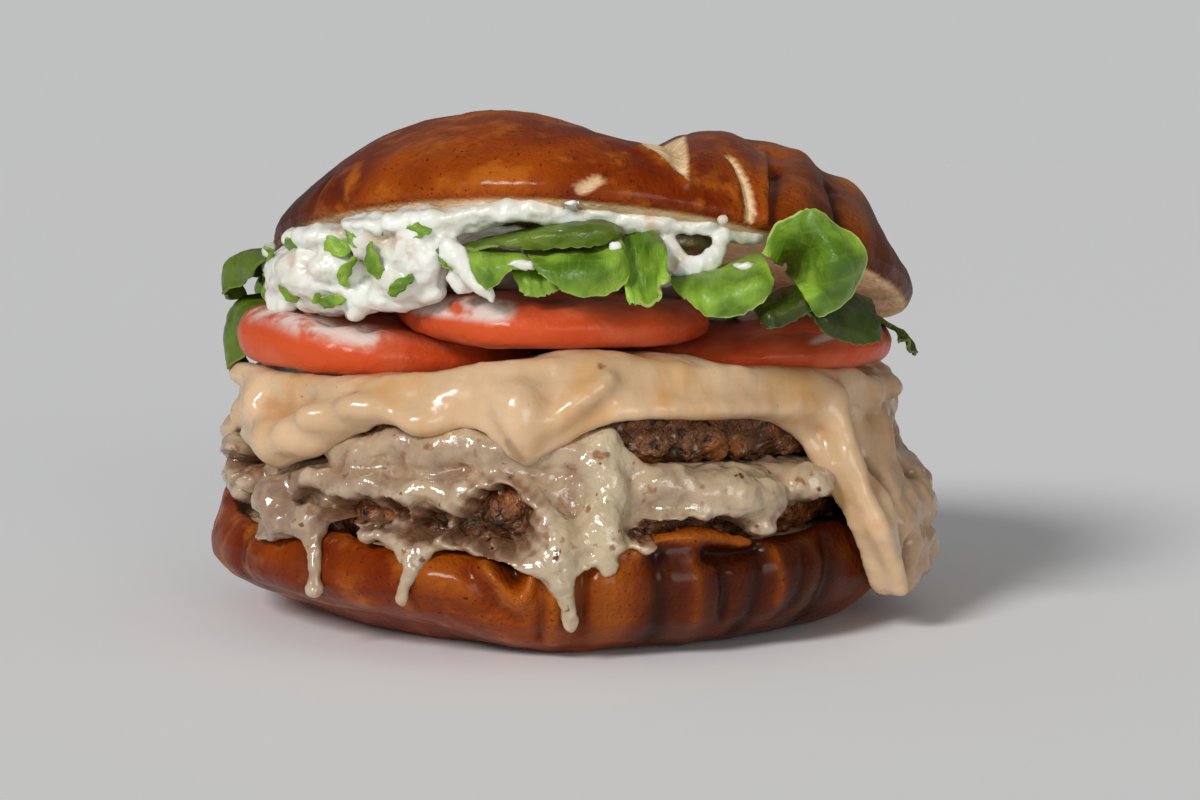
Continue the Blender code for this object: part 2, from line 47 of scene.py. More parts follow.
# Furrows in the side: places as millimetres round the side and up, a width and a depth.
# A ridge has a negative depth.
HEEL_MARKS = (
    (((-10.5, 16.5), (-7.0, 12.6), (-4.4, 9.8), (-3.2, 11.6), (-2.2, 15.6)), 0.8, -1.5),
    (((-7.5, 17.5), (-5.2, 13.6)), 1.5, 2.4),
    (((-12.5, 14.4), (-8.2, 9.6), (-5.0, 7.0)), 1.1, 0.9),
    (((0.6, 16.5), (0.6, 9.0), (0.2, 3.5)), 1.0, -0.8),
    (((-1.3, 14.8), (-1.2, 9.0), (-1.8, 4.5)), 0.8, 1.2),
    (((-19.0, 14.0), (-12.5, 12.6)), 3.2, -0.9),
    (((10.0, 17.0), (9.0, 5.0)), 3.2, -1.0),
    (((5.0, 15.0), (4.6, 6.0)), 1.2, 0.9),
    (((13.0, 17.0), (18.0, 19.4), (27.0, 18.8), (33.0, 17.4)), 1.2, -1.1),
    (((25.0, 16.0), (30.0, 15.4), (35.0, 15.8)), 1.1, 1.8),
    (((16.5, 16.5), (17.4, 4.0)), 1.5, 0.8),
    (((22.0, 16.0), (23.5, 6.0)), 1.6, -0.4),
    (((27.5, 14.0), (28.4, 7.0)), 1.3, 0.8),
    (((34.5, 13.0), (33.5, 3.5)), 1.7, 0.7),
    (((37.4, 15.5), (38.4, 8.0)), 1.3, -0.5),
    (((43.0, 14.5), (41.5, 6.0)), 1.4, 0.7),
    (((50.0, 15.0), (49.0, 4.0)), 2.2, 0.9),
    (((-44.0, 13.0), (-38.0, 5.0)), 2.5, 0.5),
    (((-60.0, 16.0), (-62.0, 6.0)), 2.0, 0.8),
    (((-85.0, 15.0), (-83.0, 5.0)), 2.2, 0.7),
    (((-118.0, 15.5), (-120.0, 5.0)), 1.8, 1.0),
    (((-150.0, 15.0), (-149.0, 6.0)), 2.4, 0.8),
    (((160.0, 15.5), (161.0, 5.0)), 1.8, 1.1),
    (((128.0, 15.0), (126.0, 5.0)), 2.2, 0.8),
    (((96.0, 15.0), (95.0, 5.0)), 1.8, 0.9),
)
# How far the rim of the foot is lifted, by millimetres round the side.
HEEL_TURNS = (-100.0, -85.0, -55.0, -40.0, -22.0, -8.0, 8.0, 45.0, 65.0, 85.0)
HEEL_LIFTS = (0.0, 2.2, 2.6, 1.4, 0.7, -0.4, -0.8, -1.0, -1.1, 0.0)


def choose(item):
    bpy.ops.object.select_all(action="DESELECT")
    item.select_set(True)
    bpy.context.view_layer.objects.active = item


def apply_modifier(item, kind, **settings):
    choose(item)
    modifier = item.modifiers.new(kind.title(), kind)
    for setting, value in settings.items():
        setattr(modifier, setting, value)
    bpy.ops.object.modifier_apply(modifier=modifier.name)


def face_outward(item, merge_within=0.0):
    """Turns every face outward, once points nearer to each other than that are merged."""
    choose(item)
    bpy.ops.object.mode_set(mode="EDIT")
    bpy.ops.mesh.select_all(action="SELECT")
    if merge_within:
        bpy.ops.mesh.remove_doubles(threshold=merge_within * MM)
    bpy.ops.mesh.normals_make_consistent(inside=False)
    bpy.ops.object.mode_set(mode="OBJECT")


def copy_of(node, name):
    """A piece of its own with the solid's shape, its doubled points merged."""
    item = bpy.data.objects.new(name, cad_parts[node].data.copy())
    bpy.context.collection.objects.link(item)
    item.data.materials.clear()
    face_outward(item, 0.01)
    return item


def knead(item, grain, passes):
    """One soft skin over all the lumps of a piece, its points a grain in millimetres apart."""
    apply_modifier(item, "REMESH", mode="VOXEL", voxel_size=grain * MM)
    apply_modifier(item, "SMOOTH", factor=0.5, iterations=passes)


def roughen(item, kind, size, height, within=""):
    """Lumps of a size and height in millimetres over the whole piece, or within a point group."""
    pattern = bpy.data.textures.new(kind.title(), kind)
    pattern.noise_scale = size * MM
    apply_modifier(
        item, "DISPLACE", texture=pattern, strength=height * MM, mid_level=0.5,
        texture_coords="LOCAL", vertex_group=within,
    )


def points_of(item):
    """The points of a piece in millimetres, one row each."""
    points = np.empty(len(item.data.vertices) * 3)
    item.data.vertices.foreach_get("co", points)
    return points.reshape(-1, 3) / MM


def directions_of(item):
    directions = np.empty(len(item.data.vertices) * 3)
    item.data.vertices.foreach_get("normal", directions)
    return directions.reshape(-1, 3)


def move_points(item, points):
    item.data.vertices.foreach_set("co", (points * MM).ravel())
    item.data.update()


def store(item, name, values):
    """Keeps a value for each point, which the material reads by name."""
    kept = item.data.attributes.new(name, "FLOAT", "POINT")
    kept.data.foreach_set("value", np.clip(values, 0.0, 1.0).astype(np.float32))


def eased(low, high, values):
    """0 below low, 1 above high and a soft step between them."""
    share = np.clip((values - low) / (high - low), 0.0, 1.0)
    return share * share * (3.0 - 2.0 * share)


def away_from(points, line, directions=None):
    """How far each point is from a line of places, across the surface if directions are given."""
    nearest = np.full(len(points), 1000.0)
    for start, stop in zip(line, line[1:]):
        start = np.array(start, float)
        run = np.array(stop, float) - start
        share = np.clip((points - start) @ run / (run @ run), 0.0, 1.0)
        gap = points - start - share[:, None] * run
        if directions is not None:
            deep = np.clip(np.sum(gap * directions, axis=1), -MARK_REACH, MARK_REACH)
            gap = gap - directions * deep[:, None]
        nearest = np.minimum(nearest, np.linalg.norm(gap, axis=1))
    return nearest


def marks_at(points, marks, directions=None):
    """How deep the furrows are at each point; a ridge has a negative depth."""
    depth = np.zeros(len(points))
    for line, width, deep in marks:
        depth += deep * np.exp(-((away_from(points, line, directions) / width) ** 2))
    return depth


def side_of(points):
    """Millimetres round the side from its front and up, for a side of about 57 mm radius."""
    turn = (np.degrees(np.arctan2(points[:, 1], points[:, 0])) + 90.0 + 180.0) % 360.0 - 180.0
    return np.column_stack([turn, points[:, 2]])


def outward_of(points):
    """Level directions away from the middle of the stack, and how far out each point lies."""
    reach = np.hypot(points[:, 0], points[:, 1])
    outward = points / np.maximum(reach, 1.0)[:, None]
    outward[:, 2] = 0.0
    return outward, reach


def nearer_than(reach):
    """A test of which places lie nearer to the middle of the stack than a reach."""
    return lambda spot: np.hypot(spot[:, 0], spot[:, 1]) < reach


def coarsen(item, hidden, keep):
    """Fewer faces where nothing can be seen; hidden says of each face's middle whether it is."""
    faces = item.data.polygons
    middles = np.empty(len(faces) * 3)
    faces.foreach_get("center", middles)
    flags = hidden(middles.reshape(-1, 3) / MM)
    item.data.vertices.foreach_set("select", np.zeros(len(item.data.vertices), bool))
    item.data.edges.foreach_set("select", np.zeros(len(item.data.edges), bool))
    faces.foreach_set("select", flags)
    choose(item)
    bpy.ops.object.mode_set(mode="EDIT")
    bpy.ops.mesh.select_mode(type="FACE")
    bpy.ops.mesh.decimate(ratio=keep)
    bpy.ops.mesh.select_mode(type="VERT")
    bpy.ops.object.mode_set(mode="OBJECT")


def shader_of(name):
    """A new material and its node tree and shader."""
    skin = bpy.data.materials.new(name)
    skin.use_nodes = True
    return skin, skin.node_tree, skin.node_tree.nodes["Principled BSDF"]


def add_node(tree, kind, sockets=None, **settings):
    """A node with its settings, and values or links for its named or numbered inputs."""
    made = tree.nodes.new(kind)
    for setting, value in settings.items():
        setattr(made, setting, value)
    for socket, value in (sockets or {}).items():
        if isinstance(value, bpy.types.NodeSocket):
            tree.links.new(value, made.inputs[socket])
        else:
            made.inputs[socket].default_value = value
    return made


def mixed(tree, share, first, second):
    """A colour between two colours."""
    blend = add_node(tree, "ShaderNodeMix", data_type="RGBA")
    for socket, value in ((0, share), (6, first), (7, second)):
        if isinstance(value, bpy.types.NodeSocket):
            tree.links.new(value, blend.inputs[socket])
        elif isinstance(value, tuple):
            blend.inputs[socket].default_value = (*value, 1.0)
        else:
            blend.inputs[socket].default_value = value
    return blend.outputs[2]


def kept_value(tree, name):
    return add_node(tree, "ShaderNodeAttribute", attribute_name=name).outputs["Fac"]


def between(tree, mask, low, high):
    """A number that goes from low to high where a mask goes from 0 to 1."""
    return add_node(tree, "ShaderNodeMapRange", {"Value": mask, "To Min": low, "To Max": high}).outputs[0]


def set_inputs(shader, values):
    for socket, value in values.items():
        shader.inputs[socket].default_value = value


def patches_group():
    """Soft patches: a mask from noise of a size per metre, with a threshold and an edge."""
    group = bpy.data.node_groups.new("Soft patches", "ShaderNodeTree")
    for socket, value in (("Scale", 60.0), ("Detail", 3.0), ("Threshold", 0.5), ("Edge", 0.12)):
        made = group.interface.new_socket(socket, in_out="INPUT", socket_type="NodeSocketFloat")
        made.default_value = value
    group.interface.new_socket("Mask", in_out="OUTPUT", socket_type="NodeSocketFloat")
    entry = group.nodes.new("NodeGroupInput")
    leave = group.nodes.new("NodeGroupOutput")
    place = add_node(group, "ShaderNodeTexCoord")
    scale, detail, threshold, edge = entry.outputs[:4]
    noise = add_node(group, "ShaderNodeTexNoise", {
        "Vector": place.outputs["Object"], "Scale": scale, "Detail": detail,
    })
    low = add_node(group, "ShaderNodeMath", {0: threshold, 1: edge}, operation="SUBTRACT")
    high = add_node(group, "ShaderNodeMath", {0: threshold, 1: edge})
    step = add_node(group, "ShaderNodeMapRange", {
        "Value": noise.outputs[0], "From Min": low.outputs[0], "From Max": high.outputs[0],
    }, interpolation_type="SMOOTHSTEP")
    group.links.new(step.outputs["Result"], leave.inputs["Mask"])
    return group


soft_patches = patches_group()


def patches(tree, scale, threshold, edge, detail=3.0):
    """The mask of the soft patches group, set to one size and share."""
    made = add_node(tree, "ShaderNodeGroup", node_tree=soft_patches)
    set_inputs(made, {"Scale": scale, "Detail": detail, "Threshold": threshold, "Edge": edge})
    return made.outputs["Mask"]


def relief(tree, shader, height, distance, strength=1.0, before=None):
    """Fine relief too small for the mesh, on top of another relief if one is given."""
    made = add_node(tree, "ShaderNodeBump", {"Height": height, "Distance": distance, "Strength": strength})
    if before is not None:
        tree.links.new(before, made.inputs["Normal"])
    tree.links.new(made.outputs["Normal"], shader.inputs["Normal"])
    return made.outputs["Normal"]


def make_crust():
    skin, tree, shader = shader_of("Pretzel crust")
    brown = mixed(tree, patches(tree, 60.0, 0.5, 0.2), (0.150, 0.016, 0.0005), (0.33, 0.062, 0.002))
    orange = mixed(tree, patches(tree, 170.0, 0.60, 0.12), brown, (0.40, 0.105, 0.007))
    dark = mixed(tree, patches(tree, 34.0, 0.60, 0.14), orange, (0.085, 0.009, 0.001))
    # Painted highlight: the crust is coloured lighter on its raised ridges.
    worn = mixed(tree, kept_value(tree, "ridge"), dark, (0.46, 0.135, 0.012))
    # Painted shade: the crust is coloured darker in its furrows and on the shaded sides of both bun halves.
    shut = mixed(tree, kept_value(tree, "crease"), worn, (0.030, 0.005, 0.001))
    specks = mixed(tree, patches(tree, 1300.0, 0.68, 0.04), shut, (0.07, 0.010, 0.001))
    crumb = mixed(tree, patches(tree, 300.0, 0.5, 0.2), (0.90, 0.66, 0.40), (0.74, 0.49, 0.26))
    colour = mixed(tree, kept_value(tree, "crumb"), specks, crumb)
    tree.links.new(colour, shader.inputs["Base Color"])
    gloss = between(tree, patches(tree, 120.0, 0.5, 0.2), 0.34, 0.5)
    dull = add_node(tree, "ShaderNodeMath", {0: kept_value(tree, "crumb"), 1: 0.5, 2: gloss},
                    operation="MULTIPLY_ADD")
    tree.links.new(dull.outputs[0], shader.inputs["Roughness"])
    tree.links.new(between(tree, kept_value(tree, "crumb"), 0.28, 0.0), shader.inputs["Coat Weight"])
    set_inputs(shader, {
        "Coat Roughness": 0.19, "Coat Tint": (1.0, 0.78, 0.5, 1.0),
        "Specular IOR Level": 0.04, "Specular Tint": (1.0, 0.5, 0.2, 1.0),
    })
    fine = relief(tree, shader, patches(tree, 1100.0, 0.5, 0.3), 0.00022)
    relief(tree, shader, patches(tree, 300.0, 0.5, 0.4), 0.0004, 0.8, fine)
    return skin


crust = make_crust()


def make_heel():
    item = copy_of("bun_heel", "bottom_bun")
    knead(item, BUN_GRAIN, 4)
    coarsen(item, nearer_than(46.0), 0.12)
    points = points_of(item)
    outward, reach = outward_of(points)
    depth = marks_at(side_of(points), HEEL_MARKS) * eased(46.0, 52.0, reach)
    turns = side_of(points)[:, 0]
    at_foot = eased(12.0, 2.0, points[:, 2]) * eased(34.0, 48.0, reach)
    points[:, 2] += np.interp(turns, HEEL_TURNS, HEEL_LIFTS) * at_foot
    move_points(item, points - outward * depth[:, None])
    roughen(item, "CLOUDS", 14.0, 0.7)
    roughen(item, "CLOUDS", 3.5, 0.22)
    # Painted highlight on the ridges of the bottom bun's crust.
    store(item, "ridge", -0.42 * depth)
    # Painted shade: darker in the furrows and over the shaded front right of the side.
    baked = 0.76 * eased(6.0, 18.0, turns) * eased(75.0, 50.0, turns) * (1.0 - eased(0.2, 0.8, -depth))
    store(item, "crease", 0.40 * depth + baked)
    store(item, "crumb", eased(52.6, 51.4, reach) * eased(11.0, 13.0, points[:, 2]))
    item.data.materials.append(crust)
    bpy.ops.object.shade_smooth()
    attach(item, "root")
    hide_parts("bun_heel")


make_heel()

# Beef patties. Two round patties of coarse minced beef, seared dark brown and wet with
# fat, each one crumbly piece. The lower lies on the bottom bun, the upper on the cheese.
PATTY_GRAIN = 0.85
# Swells of the meat: millimetres round the side and up, a size and how far it stands out.
LOWER_SWELLS = (
    (-8.0, 22.6, 4.6, 1.9), (-33.0, 20.5, 4.0, 1.0), (22.0, 20.5, 5.0, 0.9), (-78.0, 23.5, 5.0, 1.4),
)
UPPER_SWELLS = (
    (29.0, 32.5, 11.0, 1.2), (50.0, 31.5, 9.0, 1.8), (-31.0, 34.0, 4.0, 0.8),
    (19.0, 31.0, 3.0, 1.2), (-72.0, 31.0, 5.0, 1.2),
)


def depth_below(item, passes):
    """Millimetres that each point lies below the smoothed surface round it."""
    twin = item.copy()
    twin.data = item.data.copy()
    bpy.context.collection.objects.link(twin)
    apply_modifier(twin, "SMOOTH", factor=0.5, iterations=passes)
    below = np.sum((points_of(twin) - points_of(item)) * directions_of(item), axis=1)
    smoothed = twin.data
    bpy.data.objects.remove(twin)
    bpy.data.meshes.remove(smoothed)
    choose(item)
    return below


def make_meat():
    skin, tree, shader = shader_of("Seared beef")
    brown = mixed(tree, patches(tree, 260.0, 0.5, 0.12), (0.058, 0.018, 0.005), (0.19, 0.068, 0.024))
    red = mixed(tree, patches(tree, 120.0, 0.54, 0.1), brown, (0.29, 0.078, 0.012))
    fat = mixed(tree, patches(tree, 620.0, 0.64, 0.05), red, (0.36, 0.24, 0.16))
    char = mixed(tree, patches(tree, 420.0, 0.62, 0.06), fat, (0.018, 0.008, 0.005))
    # Painted shade: the meat is coloured darker in its hollows.
    gap = mixed(tree, kept_value(tree, "hollow"), char, (0.020, 0.008, 0.004))
    tree.links.new(gap, shader.inputs["Base Color"])
    tree.links.new(between(tree, patches(tree, 500.0, 0.5, 0.12), 0.16, 0.6), shader.inputs["Roughness"])
    set_inputs(shader, {"Specular IOR Level": 0.6, "Specular Tint": (1.0, 0.85, 0.7, 1.0)})
    fine = relief(tree, shader, patches(tree, 1400.0, 0.5, 0.3), 0.0003)
    relief(tree, shader, patches(tree, 600.0, 0.5, 0.3), 0.0005, 0.8, fine)
    return skin


meat = make_meat()


def make_patty(node, name, swells):
    item = copy_of(node, name)
    knead(item, PATTY_GRAIN, 2)
    coarsen(item, nearer_than(44.0), 0.08)
    # Finer faces round the side, which is all that is not selected now.
    bpy.ops.object.mode_set(mode="EDIT")
    bpy.ops.mesh.select_all(action="INVERT")
    bpy.ops.mesh.subdivide(number_cuts=1)
    bpy.ops.object.mode_set(mode="OBJECT")
    points = points_of(item)
    outward, reach = outward_of(points)
    flat = side_of(points)
    push = np.zeros(len(points))
    for turn, height, size, out in swells:
        near = np.hypot(flat[:, 0] - turn, flat[:, 1] - height) / size
        push += out * np.exp(-(near ** 2)) * eased(42.0, 47.0, reach)
    move_points(item, points + outward * push[:, None])
    roughen(item, "VORONOI", 4.2, -1.9)
    roughen(item, "VORONOI", 1.9, -0.9)
    roughen(item, "CLOUDS", 0.9, 0.55)
    # How deep each point lies in a hollow, for the painted shade there.
    store(item, "hollow", 0.85 * eased(0.0, 0.4, depth_below(item, 12)))
    item.data.materials.append(meat)
    bpy.ops.object.shade_smooth()
    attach(item, "root")
    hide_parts(node)


make_patty("patty_lower", "lower_patty", LOWER_SWELLS)
make_patty("patty_upper", "upper_patty", UPPER_SWELLS)

# Lower cheese. A thin melted slice, wet and partly see-through, that hangs over the lower
# patty in lobes, rings and long drips. It clings to the meat and runs down the bun.
LOWER_CHEESE_GRAIN = 0.6
WINDOW_REACH = 46.5
# Lumps: a middle and the half sizes. Strings: a line of places and their radii.
LOWER_BALLS = (
    ((-41.4, -39.4, 19.6), (3.6, 2.8, 3.4)), ((-37.2, -42.6, 19.6), (3.6, 2.4, 3.2)),
    ((-43.6, -34.6, 22.5), (3.4, 6.0, 3.8)),
    ((-27.5, -49.0, 19.0), (2.6, 2.0, 1.7)), ((-24.0, -51.0, 17.8), (1.9, 1.5, 1.5)),
    ((-15.8, -53.8, 18.8), (2.6, 1.8, 1.7)), ((-11.2, -55.6, 18.2), (2.4, 1.8, 1.7)),
    ((-6.0, -56.2, 17.6), (2.8, 1.6, 1.5)), ((14.2, -56.0, 18.0), (2.1, 1.8, 1.5)),
    ((4.2, -57.2, 18.6), (1.7, 1.6, 1.7)), ((11.8, -50.8, 30.0), (1.9, 1.7, 2.2)),
    ((12.6, -51.6, 24.4), (1.7, 1.6, 2.6)), ((12.0, -54.2, 19.4), (2.0, 1.6, 1.5)),
    ((9.0, -56.8, 14.8), (1.6, 1.2, 1.6)),
    ((17.0, -49.0, 26.6), (7.0, 3.6, 3.4)), ((24.6, -47.0, 24.8), (8.6, 4.6, 4.6)),
    ((31.0, -43.0, 23.6), (6.0, 4.6, 4.4)), ((38.0, -36.6, 25.0), (6.6, 5.6, 3.8)),
    ((45.0, -27.0, 25.2), (4.6, 8.0, 3.4)), ((32.4, -44.6, 18.9), (2.7, 2.3, 1.4)),
    ((-51.6, -13.0, 27.6), (3.6, 7.0, 3.0)), ((-52.2, -8.0, 23.0), (3.0, 6.0, 2.6)),
    ((-48.5, -24.0, 24.0), (2.6, 3.4, 2.6)), ((-50.5, -14.0, 21.0), (2.6, 4.0, 2.4)),
)
LOWER_STRINGS = (
    (((-37.4, -41.6, 19.0), (-36.5, -44.3, 15.6), (-36.3, -45.4, 12.2), (-36.3, -45.3, 9.6)),
     (2.4, 1.7, 1.15, 1.7)),
    (((-20.0, -50.6, 20.4), (-20.2, -52.8, 17.6), (-21.0, -54.2, 14.6), (-22.0, -54.0, 12.0),
      (-22.4, -53.6, 9.4)), (1.9, 1.5, 1.2, 0.9, 1.35)),
    (((-23.0, -51.6, 17.4), (-21.0, -54.2, 14.4)), (1.4, 1.1)),
    (((-18.4, -53.4, 17.4), (-20.4, -54.4, 13.8)), (1.3, 0.9)),
    (((-3.2, -54.2, 23.0), (0.2, -55.6, 19.6), (1.2, -58.4, 15.8), (2.0, -59.0, 12.4),
      (2.8, -58.2, 9.0), (3.2, -56.9, 6.2)), (3.4, 4.0, 3.2, 2.0, 1.2, 1.6)),
    (((8.9, -51.0, 33.4), (7.6, -52.2, 29.4), (9.2, -53.0, 25.4), (7.8, -54.6, 21.8), (8.8, -56.4, 18.6)),
     (2.4, 3.4, 2.7, 3.6, 2.6)),
    (((-40.0, -36.0, 25.0), (-36.4, -40.0, 26.9), (-32.0, -43.4, 25.2), (-27.5, -46.2, 26.6),
      (-22.9, -48.3, 24.2), (-18.6, -50.2, 25.9), (-15.0, -51.4, 24.4), (-12.4, -52.2, 26.8)),
     (2.6, 1.8, 2.7, 1.7, 2.6, 1.5, 2.2, 1.4)),
    (((-13.4, -53.0, 22.4), (-11.4, -53.4, 26.0), (-7.6, -53.8, 27.2), (-3.4, -54.0, 25.8),
      (-2.2, -54.4, 22.4), (-4.0, -54.8, 19.2), (-7.8, -55.0, 18.2), (-11.6, -54.2, 19.4),
      (-13.4, -53.0, 22.4)), (1.2, 1.2, 1.3, 1.3, 1.3, 1.2, 1.2, 1.2, 1.2)),
    (((-34.0, -37.2, 31.4), (-29.0, -41.4, 30.2), (-24.0, -44.2, 32.6), (-18.6, -46.4, 31.0),
      (-13.0, -48.6, 33.0), (-7.4, -49.8, 30.8), (-1.0, -50.4, 31.6), (5.0, -50.2, 31.6)),
     (2.4, 3.4, 2.7, 3.9, 2.8, 3.7, 2.9, 3.3)),
)
# Thin places over the meat: millimetres round the side and up, and half the width and height.
LOWER_WINDOWS = (
    (-8.0, 22.0, 5.0, 4.2), (-35.0, 21.8, 3.4, 1.6), (-29.6, 21.0, 1.6, 0.9),
    (-26.0, 22.6, 2.2, 1.3), (-20.4, 20.4, 3.2, 2.0), (-13.5, 20.0, 2.6, 1.6),
    (22.0, 19.9, 8.0, 1.5), (50.0, 20.6, 9.0, 2.2), (-70.0, 25.6, 6.0, 1.8),
    (-47.0, 33.4, 5.0, 1.2), (150.0, 22.8, 8.0, 2.2), (-150.0, 23.0, 7.0, 2.4), (105.0, 22.5, 6.0, 1.8),
)
# Lines along which the cheese is thick and pale.
PALE_COLUMN = ((8.6, -51.0, 33.0), (8.2, -54.0, 23.0), (8.6, -56.6, 18.4))
PALE_FLOW = ((-2.0, -55.0, 22.0), (1.2, -58.4, 15.8), (3.0, -58.0, 8.0))
PALE_RIGHT = ((19.0, -50.0, 25.5), (28.0, -46.0, 24.5))


def add_balls(item, balls):
    """Flattened lumps, each a middle and its half sizes, in millimetres."""
    choose(item)
    bpy.ops.object.mode_set(mode="EDIT")
    bpy.ops.mesh.select_all(action="DESELECT")
    for middle, sizes in balls:
        bpy.ops.mesh.primitive_ico_sphere_add(
            subdivisions=3, radius=1.0, location=Vector(middle) * MM, scale=Vector(sizes) * MM,
        )
    bpy.ops.object.mode_set(mode="OBJECT")


def add_string(item, line, widths, pitch=0.55):
    """A tapering run of lumps so close together that they make one rounded string."""
    balls = []
    for (start, stop), (first, last) in zip(zip(line, line[1:]), zip(widths, widths[1:])):
        start, stop = Vector(start), Vector(stop)
        count = max(int((stop - start).length / (pitch * min(first, last))), 1)
        for step in range(count + 1):
            share = step / count
            size = first + (last - first) * share
            balls.append((start.lerp(stop, share), (size, size, size)))
    add_balls(item, balls)


def make_clear_cheese():
    skin, tree, shader = shader_of("Clear melted cheese")
    beige = mixed(tree, patches(tree, 75.0, 0.50, 0.25), (0.52, 0.385, 0.235), (0.40, 0.278, 0.170))
    mauve = mixed(tree, patches(tree, 110.0, 0.56, 0.16), beige, (0.25, 0.150, 0.100))
    lower = mixed(tree, kept_value(tree, "low"), mauve, (0.20, 0.110, 0.070))
    pale = mixed(tree, kept_value(tree, "pale"), lower, (0.54, 0.44, 0.28))
    # Painted shade: darker in the hollows of the cheese.
    sunk = mixed(tree, kept_value(tree, "hollow"), pale, (0.27, 0.135, 0.065))
    # Painted highlight: lighter on its raised places.
    raised = mixed(tree, kept_value(tree, "raised"), sunk, (0.64, 0.53, 0.38))
    through = mixed(tree, kept_value(tree, "thin"), raised, (0.20, 0.088, 0.040))
    specks = mixed(tree, patches(tree, 520.0, 0.70, 0.04), through, (0.13, 0.050, 0.020))
    seared = mixed(tree, patches(tree, 330.0, 0.665, 0.05), specks, (0.29, 0.135, 0.055))
    tree.links.new(seared, shader.inputs["Base Color"])
    tree.links.new(between(tree, patches(tree, 220.0, 0.5, 0.2), 0.12, 0.32), shader.inputs["Roughness"])
    set_inputs(shader, {
        "Subsurface Weight": 0.35, "Subsurface Radius": (1.0, 0.6, 0.35), "Subsurface Scale": 0.0015,
        "Coat Weight": 0.7, "Coat Roughness": 0.07,
    })
    relief(tree, shader, patches(tree, 420.0, 0.5, 0.4), 0.0004, 0.7)
    return skin


clear_cheese = make_clear_cheese()


def make_lower_cheese():
    item = copy_of("cheese_lower", "lower_cheese")
    add_balls(item, LOWER_BALLS)
    for line, widths in LOWER_STRINGS:
        add_string(item, line, widths)
    knead(item, LOWER_CHEESE_GRAIN, 16)
    points = points_of(item)
    flat = side_of(points)
    outward, reach = outward_of(points)
    x, z = points[:, 0], points[:, 2]
    wobble = 0.16 * np.sin(1.7 * x + 2.3 * z) + 0.1 * np.sin(3.1 * z - 2.9 * x)
    near = np.full(len(points), 9.0)
    for turn, height, wide, tall in LOWER_WINDOWS:
        spread = np.hypot((flat[:, 0] - turn) / wide, (flat[:, 1] - height) / tall)
        near = np.minimum(near, spread + wobble)
    inward = eased(1.15, 0.80, near) * np.maximum(reach - WINDOW_REACH, 0.0)
    move_points(item, points - outward * inward[:, None])
    store(item, "thin", 0.9 * eased(1.8, 1.05, near))
    apply_modifier(item, "SMOOTH", factor=0.5, iterations=5)
    coarsen(item, nearer_than(44.0), 0.06)
    roughen(item, "CLOUDS", 5.0, 1.5)
    roughen(item, "CLOUDS", 2.2, 0.9)
    points = points_of(item)
    column = eased(5.0, 2.6, away_from(points, PALE_COLUMN))
    flow = eased(6.0, 3.0, away_from(points, PALE_FLOW))
    right = eased(9.0, 5.0, away_from(points, PALE_RIGHT))
    store(item, "pale", 0.8 * column + 0.65 * flow + 0.3 * right)
    x, z = points[:, 0], points[:, 2]
    low = eased(25.5, 20.5, z) * eased(-2.0, -12.0, x) * eased(15.0, 17.5, z)
    store(item, "low", 0.22 * low * (1.0 - np.maximum(column, flow)))
    # Painted shade in the hollows and painted highlight on the raised places.
    below = depth_below(item, 80)
    store(item, "hollow", 0.8 * eased(0.1, 0.9, below))
    store(item, "raised", 0.35 * eased(0.2, 1.0, -below))
    item.data.materials.append(clear_cheese)
    bpy.ops.object.shade_smooth()
    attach(item, "root")
    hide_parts("cheese_lower")


make_lower_cheese()

# Upper cheese. A thick cream coloured slice, melted over the upper patty in soft lobes,
# with a tongue at the front, a long ribbon at the right and a lumpy sheet beside that.
UPPER_CHEESE_GRAINS = ((0.85, 14), (0.6, 8))
UPPER_BALLS = (
    ((-43.6, -32.6, 31.4), (4.2, 4.4, 4.6)), ((-38.4, -38.0, 32.8), (5.6, 3.4, 3.6)),
    ((-33.0, -42.0, 36.2), (7.0, 3.2, 3.2)), ((-47.0, -25.0, 36.0), (3.4, 6.0, 4.6)),
    ((8.0, -40.0, 42.2), (20.0, 9.0, 4.0)), ((5.0, -46.4, 44.8), (9.0, 3.6, 2.6)),
    ((16.0, -42.0, 44.0), (9.0, 5.0, 2.0)), ((54.4, -12.0, 36.0), (3.0, 4.0, 3.0)),
    ((57.2, -8.0, 30.2), (2.6, 4.0, 3.0)), ((59.6, -10.0, 23.6), (2.2, 4.0, 1.8)),
    ((61.6, -9.0, 17.0), (2.2, 4.0, 2.2)), ((62.0, -8.0, 10.6), (2.0, 4.0, 2.4)),
    ((30.0, -32.0, 41.0), (14.0, 8.0, 2.6)), ((-24.0, -38.0, 40.4), (14.0, 6.0, 2.2)),
    ((-19.0, -49.0, 36.2), (5.4, 2.8, 2.7)), ((-27.0, -46.0, 38.0), (7.0, 3.0, 2.8)),
    ((-53.4, -4.0, 30.6), (2.4, 2.6, 2.3)), ((-50.6, -14.0, 33.6), (2.6, 4.6, 3.4)),
    ((51.8, -20.6, 30.0), (3.4, 3.6, 5.8)), ((54.0, -17.0, 22.0), (3.0, 3.6, 4.0)),
    ((59.6, -12.6, 18.6), (3.2, 4.0, 3.4)), ((59.6, -14.4, 11.6), (2.9, 4.0, 4.6)),
    ((55.4, -22.0, 15.0), (2.4, 3.4, 3.4)), ((50.6, -21.0, 38.0), (3.0, 3.4, 2.6)),
    ((58.4, 4.0, 19.0), (3.0, 6.0, 5.0)), ((56.4, 12.0, 12.0), (3.0, 5.0, 4.0)),
)
